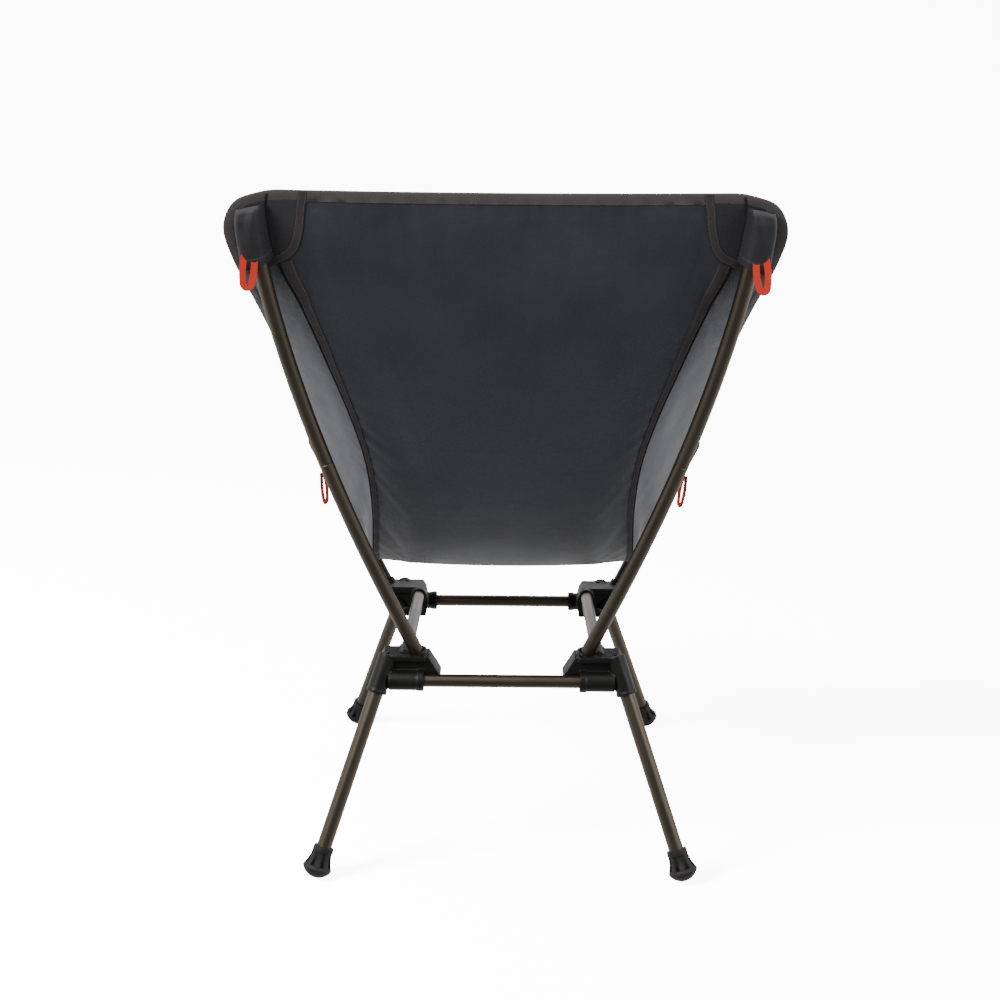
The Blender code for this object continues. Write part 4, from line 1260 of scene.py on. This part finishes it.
def build_studio():
    floor = Graph("floor")
    broad = floor.noise(floor.place(), 0.8, 2.0)
    fine = floor.noise(floor.place(), 160.0, 3.0)
    tone = floor.mix(broad, (0.86, 0.86, 0.865), (0.89, 0.89, 0.89))
    floor.finish(Base_Color=tone, Roughness=floor.ramp(broad, 0.3, 0.7, 0.75, 0.85),
                 Normal=floor.bump(fine, 0.0001, 0.1))
    floor.finish(Emission_Color=(1.0, 1.0, 1.0, 1), Emission_Strength=9.0)
    bm = bmesh.new()
    profile = [(5.0, 0.0)] + [(-3.2 - 1.5 * math.sin(a), 1.5 - 1.5 * math.cos(a))
                              for a in np.linspace(0, math.pi / 2, 24)] + [(-4.7, 6.0)]
    rows = [[bm.verts.new((x, y, z)) for x in (-7.0, 7.0)] for y, z in profile]
    for a, b in zip(rows, rows[1:]):
        bm.faces.new((a[0], a[1], b[1], b[0]))
    bmesh.ops.recalc_face_normals(bm, faces=bm.faces)
    mesh = bpy.data.meshes.new("backdrop")
    bm.to_mesh(mesh)
    bm.free()
    mesh.shade_smooth()
    mesh.materials.append(floor.material)
    backdrop = bpy.data.objects.new("backdrop", mesh)
    bpy.context.scene.collection.objects.link(backdrop)
    for seen in ("visible_diffuse", "visible_glossy", "visible_transmission"):
        setattr(backdrop, seen, False)
    bm = bmesh.new()
    corners = [(-6.9, -4.6), (-6.9, 4.9), (6.9, 4.9), (6.9, -4.6)]
    low, high = ([bm.verts.new((x, y, z)) for x, y in corners] for z in (0.0, 6.0))
    for k in range(3):
        bm.faces.new((low[k], low[k + 1], high[k + 1], high[k]))
    mesh = bpy.data.meshes.new("surround")
    bm.to_mesh(mesh)
    bm.free()
    mesh.materials.append(floor.material)
    surround = bpy.data.objects.new("surround", mesh)
    bpy.context.scene.collection.objects.link(surround)
    for seen in ("visible_diffuse", "visible_glossy", "visible_transmission", "visible_shadow"):
        setattr(surround, seen, False)

    softbox("key", (1.9, 1.9, 2.4), (0, 0, 0.3), (1.4, 1.4), 74)
    softbox("fill", (-2.3, 1.6, 1.7), (0, 0, 0.3), (1.6, 1.6), 27)
    softbox("top", (0, -0.2, 3.2), (0, 0, 0), (2.6, 2.6), 45)
    sweep = softbox("floor_light", (2.6, 1.2, 2.4), (0, 0, 0), (1.2, 1.2), 1100)
    lit = bpy.data.collections.new("lit_floor")
    lit.objects.link(backdrop)
    sweep.light_linking.receiver_collection = lit
    world = bpy.data.worlds.new("studio")
    world.use_nodes = True
    tree = world.node_tree
    background = tree.nodes["Background"]
    coords = tree.nodes.new("ShaderNodeTexCoord")
    split = tree.nodes.new("ShaderNodeSeparateXYZ")
    ramp = tree.nodes.new("ShaderNodeMapRange")
    for k, value in enumerate((0.75, -0.35, 0.16, 1.05)):
        ramp.inputs[k + 1].default_value = value
    ramp.interpolation_type = "SMOOTHSTEP"
    tree.links.new(coords.outputs["Generated"], split.inputs[0])
    tree.links.new(split.outputs[1], ramp.inputs[0])
    tree.links.new(ramp.outputs[0], background.inputs[1])
    background.inputs[0].default_value = (1.0, 1.0, 1.0, 1)
    bpy.context.scene.world = world


def build_camera():
    """The fitted view: pitch, yaw and roll about the lens's place."""
    pitch, yaw, roll = 0.23654, 0.00297, 0.00823
    ahead = Vector((math.sin(yaw) * math.cos(pitch), -math.cos(yaw) * math.cos(pitch), -math.sin(pitch)))
    level = ahead.cross(Vector((0, 0, 1))).normalized()
    upright = level.cross(ahead)
    right = level * math.cos(roll) + upright * math.sin(roll)
    up = upright * math.cos(roll) - level * math.sin(roll)
    data = bpy.data.cameras.new("camera")
    data.sensor_width = 36
    data.lens = 36 * 1.426142
    data.clip_end = 50
    obj = bpy.data.objects.new("camera", data)
    turn = Matrix((right, up, -ahead)).transposed().to_4x4()
    obj.matrix_world = Matrix.Translation(at_origin((-0.00087, 1.45703, 0.68526))) @ turn
    bpy.context.scene.collection.objects.link(obj)
    bpy.context.scene.camera = obj


build_camera()
build_studio()
build_poles()
for end_name, end_sign in ENDS:
    build_hub(end_name, end_sign)
build_feet()
sling_surface, sling_pieces = build_sling()
build_pockets(sling_surface)
dress_cad()
